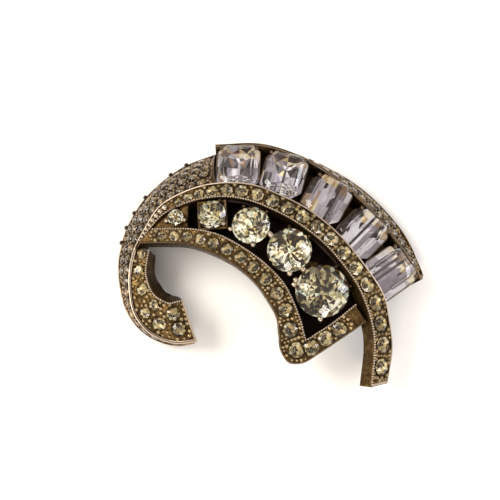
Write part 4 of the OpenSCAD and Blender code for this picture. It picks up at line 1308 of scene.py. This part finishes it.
# %% Rings and grains round the small stones
RING_SIDES, GRAIN_SIDES = 14, 8
GRAIN_REACH = 0.95  # mm, how far from a stone's side a grain may stand
GRAIN_OVERLAP = 0.36  # share of a grain's width that it keeps from a stone's side
GRAIN_GRID, GRID_HALF = 0.18, 60  # mm between candidates, and how many on each side
BEAD_ROWS = [0.35, 0.55, 0.76, 0.98, 1.2, 1.42, 1.64, 1.86, 2.08]
# For each field: rows, depth of the plate, clear edges, bulges, width, spacing, metals
# of the grains and of the rings.
GRAINS = {
    "crescent": (CRESCENT, 0.46, (0.75, 0.5), (0.05, 0.2), 0.62, 0.64, bare_alloy, grey_gold),
    "strip": (STRIP, 0.42, (0.5, 0.5), (0.1, 0.1), 0.58, 0.66, grain_gold, gold_wash),
    "middle_band": (MIDDLE, 0.26, (0.5, 0.5), (0, 0), 0.72, 0.62, grain_gold, gold_wash),
    "lower_band": (LOWER, 0.26, (0.5, 0.6), (0, 0), 0.72, 0.62, grain_gold, gold_wash),
    "hook": (HOOK, 0.32, (0.95, 0.6), (0, 0), 0.72, 0.84, grain_gold, gold_wash)}


def ring_shape():
    """A bezel ring one unit wide inside: a soft bead bent round, a few dozen faces, painted
    dark as old polish and shade.
    """
    profile = [(0.49, -0.09), (0.478, 0.0), (0.50, 0.04), (0.535, 0.03), (0.555, -0.09)]
    t = np.radians(np.arange(RING_SIDES) * 360 / RING_SIDES)
    verts = [(r * math.cos(a), r * math.sin(a), z) for a in t for r, z in profile]
    m, total = len(profile), len(verts)
    faces = [[i * m + j, i * m + (j + 1) % m, ((i + 1) * m + (j + 1) % m) % total,
        ((i + 1) * m + j) % total] for i in range(RING_SIDES) for j in range(m)]
    return finish_mesh("bezel_shape", verts, faces, [], 60, {
        "worn": np.tile([0, 0.1, 0.25, 0.2, 0], RING_SIDES),
        "grime_and_shade": np.tile([1, 1, 0.85, 0.75, 0.9], RING_SIDES)})


def grain_shape(name, shine):
    """A grain one unit wide: a low dome on a short root, rubbed on top, its root painted dark
    as shade.
    """
    profile = [(0.5, -0.6), (0.5, -0.1), (0.42, 0.16), (0.24, 0.34), (0.04, 0.4)]
    rings = turned(np.zeros(3), [0, 0, 1], profile, GRAIN_SIDES)
    return finish_mesh(name, rings.reshape(-1, 3), skin(rings), [], 60, {
        "worn": np.repeat([0, 0.2 * shine, 0.6 * shine, shine, shine], GRAIN_SIDES),
        "grime_and_shade": np.repeat([1, 0.6, 0.3, 0.1, 0], GRAIN_SIDES)})


def grain_places(rows, field, growth, plate, edges, bulges, width, apart, seed):
    """Places for grains round the stones, clear of stones, rails and each other."""
    rng = np.random.default_rng(seed)
    last = len(rows) - 1
    s_all = places_along(rows, 0, last, GRAIN_GRID)[3:-3]  # none hangs over an end
    centre, side, up, half = band_frame(rows, s_all)
    a_step = np.arange(-GRID_HALF, GRID_HALF + 1) * GRAIN_GRID
    points, frames, kept = [], [], []
    for i, s in enumerate(s_all):
        inside = a_step[(a_step < half[i] - edges[0]) & (a_step > edges[1] - half[i])]
        swell = (bulges[0] + (bulges[1] - bulges[0]) * s / last) * half[i]
        for a in inside + rng.uniform(-0.05, 0.05):
            n = swell * (1 - (a / half[i])**2) - plate
            points.append(centre[i] + side[i] * a + up[i] * n)
            frames.append(i)
    points, frames = np.array(points), np.array(frames)
    gap = clear_of(points, field, growth)
    for k in np.argsort(-gap):
        if (width * GRAIN_OVERLAP < gap[k] < GRAIN_REACH
                and all(np.linalg.norm(points[k] - points[q]) > apart for q in kept)):
            kept.append(k)
    return (points[kept], up[frames[kept]], side[frames[kept]],
        rng.uniform(0.7, 1.45, len(kept)) * width)


def set_metal(name, points, shape, growth, seed, metal):
    """Sets a metal shape on points, as a piece of the body."""
    run_tree(name, points, SETTING, {"Shape": shape, "Growth": growth, "Seed": seed,
        "Finish": metal, "Back": metal}, "gold_metal", "frame")


ring_object, grain_object = ring_shape(), grain_shape("grain_shape", 0.4)
bead_object = grain_shape("bead_shape", 1.0)
for seed, (band, plan) in enumerate(GRAINS.items()):
    rows, plate, edges, bulges, width, apart, metal, ring_metal = plan
    field, growth = FIELDS[band], SMALL[band][0]
    set_metal(band + "_bezels", point_mesh(field["centre"], field["up"], field["corner"],
        field["width"]), ring_object, growth, 3, ring_metal)
    set_metal(band + "_grains", point_mesh(*grain_places(rows, field, growth, plate, edges,
        bulges, width, apart, seed)), grain_object, 1.0, 7, metal)
centre, side, up, half = band_frame(MIDDLE, BEAD_ROWS)
set_metal("middle_band_beads", point_mesh(centre - up * 0.1, up, side,
    np.linspace(0.6, 1.3, len(BEAD_ROWS))), bead_object, 1.0, 9, bare_alloy)
for shape in (ring_object, grain_object, bead_object):
    bpy.data.objects.remove(shape)

# %% [markdown]
# ## Millgrain
# The rails beside the window are milled: a wheel rolled along them leaves a
# row of tiny beads, about one every half millimetre. This follows a path, so
# a tree resamples a line along the rail to that pitch and sets a bead at each
# point, turned along the line.

# %% The milling tree
MILL_PITCH, MILL_BEAD = 0.48, 0.40
MILL_INSET, MILL_HEIGHT = 0.15, -0.08
# For each rail: rows, first and last place, and whether it is the outer rail.
MILLED = {"middle_band_milling": (MIDDLE, 0.6, 13, False),
    "lower_band_milling": (LOWER, 0.1, 14, True), "hook_milling": (HOOK, 0.1, 7, False)}


def milling_tree():
    """A path becomes a row of beads at an even pitch."""
    tree, given = new_tree("mill_a_rail", {"Pitch": "Float", "Bead": "Float",
        "Finish": "Material"})
    line = add_node(tree, "GeometryNodeMeshToCurve", None, {"Mesh": given["Geometry"]})
    even = add_node(tree, "GeometryNodeResampleCurve", {"mode": "LENGTH"},
        {"Curve": line.outputs[0], "Length": given["Pitch"]})
    way = add_node(tree, "GeometryNodeInputTangent").outputs[0]
    turn = add_node(tree, "FunctionNodeAlignRotationToVector", {"axis": "X"},
        {"Vector": way}).outputs[0]
    ball = add_node(tree, "GeometryNodeMeshUVSphere", None, {"Segments": 8, "Rings": 5,
        "Radius": 0.5}).outputs["Mesh"]
    put = add_node(tree, "GeometryNodeInstanceOnPoints", None, {"Points": even.outputs[0],
        "Instance": ball, "Rotation": turn, "Scale": given["Bead"]}).outputs["Instances"]
    real = add_node(tree, "GeometryNodeRealizeInstances", None, {"Geometry": put})
    worn = add_node(tree, "GeometryNodeStoreNamedAttribute", {"data_type": "FLOAT",
        "domain": "POINT"}, {"Geometry": real.outputs[0], "Name": "worn", "Value": 0.8})
    smooth = add_node(tree, "GeometryNodeSetShadeSmooth", None, {"Geometry": worn.outputs[0]})
    done = add_node(tree, "GeometryNodeSetMaterial", None, {"Geometry": smooth.outputs[0],
        "Material": given["Finish"]}).outputs[0]
    add_node(tree, "NodeGroupOutput", None, {0: done})
    return tree


def rail_path(rows, start, end, outer):
    """A line of edges that follows a rail of a band."""
    s = places_along(rows, start, end, 0.3)
    half = band_frame(rows, s)[3]
    a = half - MILL_INSET if outer else MILL_INSET - half
    points = on_band(rows, s, a, np.full(len(s), MILL_HEIGHT))
    mesh = bpy.data.meshes.new("path")
    mesh.from_pydata((points * MM).tolist(), [(i, i + 1) for i in range(len(s) - 1)], [])
    return mesh


MILLING = milling_tree()
for name, rail in MILLED.items():
    run_tree(name, rail_path(*rail), MILLING, {"Pitch": MILL_PITCH * MM,
        "Bead": MILL_BEAD * MM, "Finish": bare_alloy}, "gold_metal", "frame")

# %% [markdown]
# ## The clip behind
# The sprung clip is nickel-plated steel, hidden under the body. Its solid has
# the right shape, so it stays and only gets its finish: fine brush lines along
# the strap, drawn coarser than real, and duller patches where the plating has
# aged.

# %% Nickel-plated strap
STRAP_TURN = math.radians(35.6)
BRUSH_SCALE = (400, 6500, 400)  # per metre: long along the strap, close across it
AGE_SIZE = 1 / 0.38  # mm, patches of aged plating


def nickel_plate():
    """Brushed nickel: lines about 0.15 mm apart along the strap."""
    material, tree, shader, place = new_material("brushed_nickel_plate")
    laid = add_node(tree, "ShaderNodeMapping", None, {"Vector": place,
        "Rotation": (0, 0, STRAP_TURN), "Scale": BRUSH_SCALE}).outputs[0]
    lines = add_node(tree, "ShaderNodeTexNoise", None, {"Vector": laid, "Scale": 1.0,
        "Detail": 3.0}).outputs["Fac"]
    age = add_node(tree, "ShaderNodeTexNoise", None, {"Vector": place,
        "Scale": 1 / (AGE_SIZE * MM), "Detail": 4.0}).outputs["Fac"]
    ramp = add_node(tree, "ShaderNodeValToRGB", None, {"Fac": age})
    marks = zip(ramp.color_ramp.elements, (0.35, 0.65), ("#6f675c", "#c2bcb0"))
    for mark, at, colour in marks:
        mark.position, mark.color = at, linear(colour)
    rough = add_node(tree, "ShaderNodeMapRange", None, {"Value": lines, "To Min": 0.22,
        "To Max": 0.5}).outputs["Result"]
    relief = add_node(tree, "ShaderNodeBump", None, {"Height": lines, "Strength": 0.3,
        "Distance": 0.03 * MM}).outputs["Normal"]
    set_inputs(tree, shader, {"Base Color": ramp.outputs["Color"], "Metallic": 1.0,
        "Roughness": rough, "Normal": relief})
    return material


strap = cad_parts["clip"]
strap.data.materials.clear()
strap.data.materials.append(nickel_plate())
print("strap's finish:", strap.data.materials[0].name)

# %% [markdown]
# ## The floor
# The photograph shows the clip cut out on white, so it lies on a plain pale
# card with a trace of fibre.

# %% Floor
FLOOR_SIZE = 0.9  # m
FIBRE = 1 / 0.3  # mm


def pale_floor():
    """Matt white card."""
    material, tree, shader, place = new_material("matt_white_card")
    fibre = add_node(tree, "ShaderNodeTexNoise", None, {"Vector": place,
        "Scale": 1 / (FIBRE * MM), "Detail": 3.0}).outputs["Fac"]
    tone = add_node(tree, "ShaderNodeMix", {"data_type": "RGBA"}, {0: fibre,
        6: linear("#f6f5f3"), 7: linear("#fbfbfa")}).outputs[2]
    set_inputs(tree, shader, {"Base Color": tone, "Roughness": 0.9})
    return material


w = FLOOR_SIZE / 2 / MM
slab = np.array([[(-w, -w, z), (w, -w, z), (w, w, z), (-w, w, z)] for z in (-1, 0)])
floor = finish_mesh("floor_card", slab.reshape(-1, 3), skin(slab), [pale_floor()], 0, {})
print("floor", FLOOR_SIZE, "m wide")

# %% [markdown]
# ## Light
# Large soft lights show paste at its best: the broad lamps give the facets
# something bright to mirror, and a dim room round them keeps the metal deep.
# The window lamp stands where hardly a table mirrors it, so no stone is blown
# out.

# %% Room and lamps
MIDDLE_OF_CLIP = (0, 0, 0.007)
ROOM = {"Color": linear("#96918c"), "Strength": 2.25}
# Each lamp: place and size in metres, power in watts, colour.
LAMPS = {"window_lamp": ((-0.53, 0.10, 0.48), (0.46, 0.40), 5.2, "#fffaf0"),
    "side_lamp": ((0.50, 0.10, 0.35), (0.20, 0.30), 1.6, "#f4f6ff"),
    "front_lamp": ((0.05, -0.50, 0.30), (0.40, 0.12), 2.0, "#fff6ea")}

world = bpy.data.worlds.new("dim_room")
bpy.context.scene.world = world
world.use_nodes = True
set_inputs(world.node_tree, world.node_tree.nodes["Background"], ROOM)
for name, (place, size, power, colour) in LAMPS.items():
    lamp = bpy.data.lights.new(name, "AREA")
    lamp.shape = "RECTANGLE"
    lamp.size, lamp.size_y = size
    lamp.energy = power
    lamp.color = linear(colour)[:3]
    body = show(name, lamp)
    body.location = place
    look = Vector(MIDDLE_OF_CLIP) - Vector(place)
    body.rotation_euler = look.to_track_quat("-Z", "Y").to_euler()

# %% [markdown]
# ## Camera
# The camera looks down steeply from the front, as the photograph does. The
# long lens and its shift put the clip where it lies in the picture.

# %% Camera
ELEVATION, DISTANCE = math.radians(72), 0.300  # above the table, and metres away
LENS, SHIFT = 116.64, (-0.0408, 0.0232)  # mm, and shares of the picture
eye = bpy.data.cameras.new("camera")
camera = show("camera", eye)
back = Vector((0, -math.cos(ELEVATION), math.sin(ELEVATION)))
camera.location = Vector(MIDDLE_OF_CLIP) + back * DISTANCE
camera.rotation_euler = (-back).to_track_quat("-Z", "Y").to_euler()
eye.sensor_width, eye.lens = 36, LENS
eye.shift_x, eye.shift_y = SHIFT
bpy.context.scene.camera = camera
bpy.context.scene.view_settings.view_transform = "Standard"
print("camera at", [round(c, 3) for c in camera.location])

# %% [markdown]
# ## Last step
# The view layer is brought up to date once more.

# %% Update the view layer
bpy.context.view_layer.update()
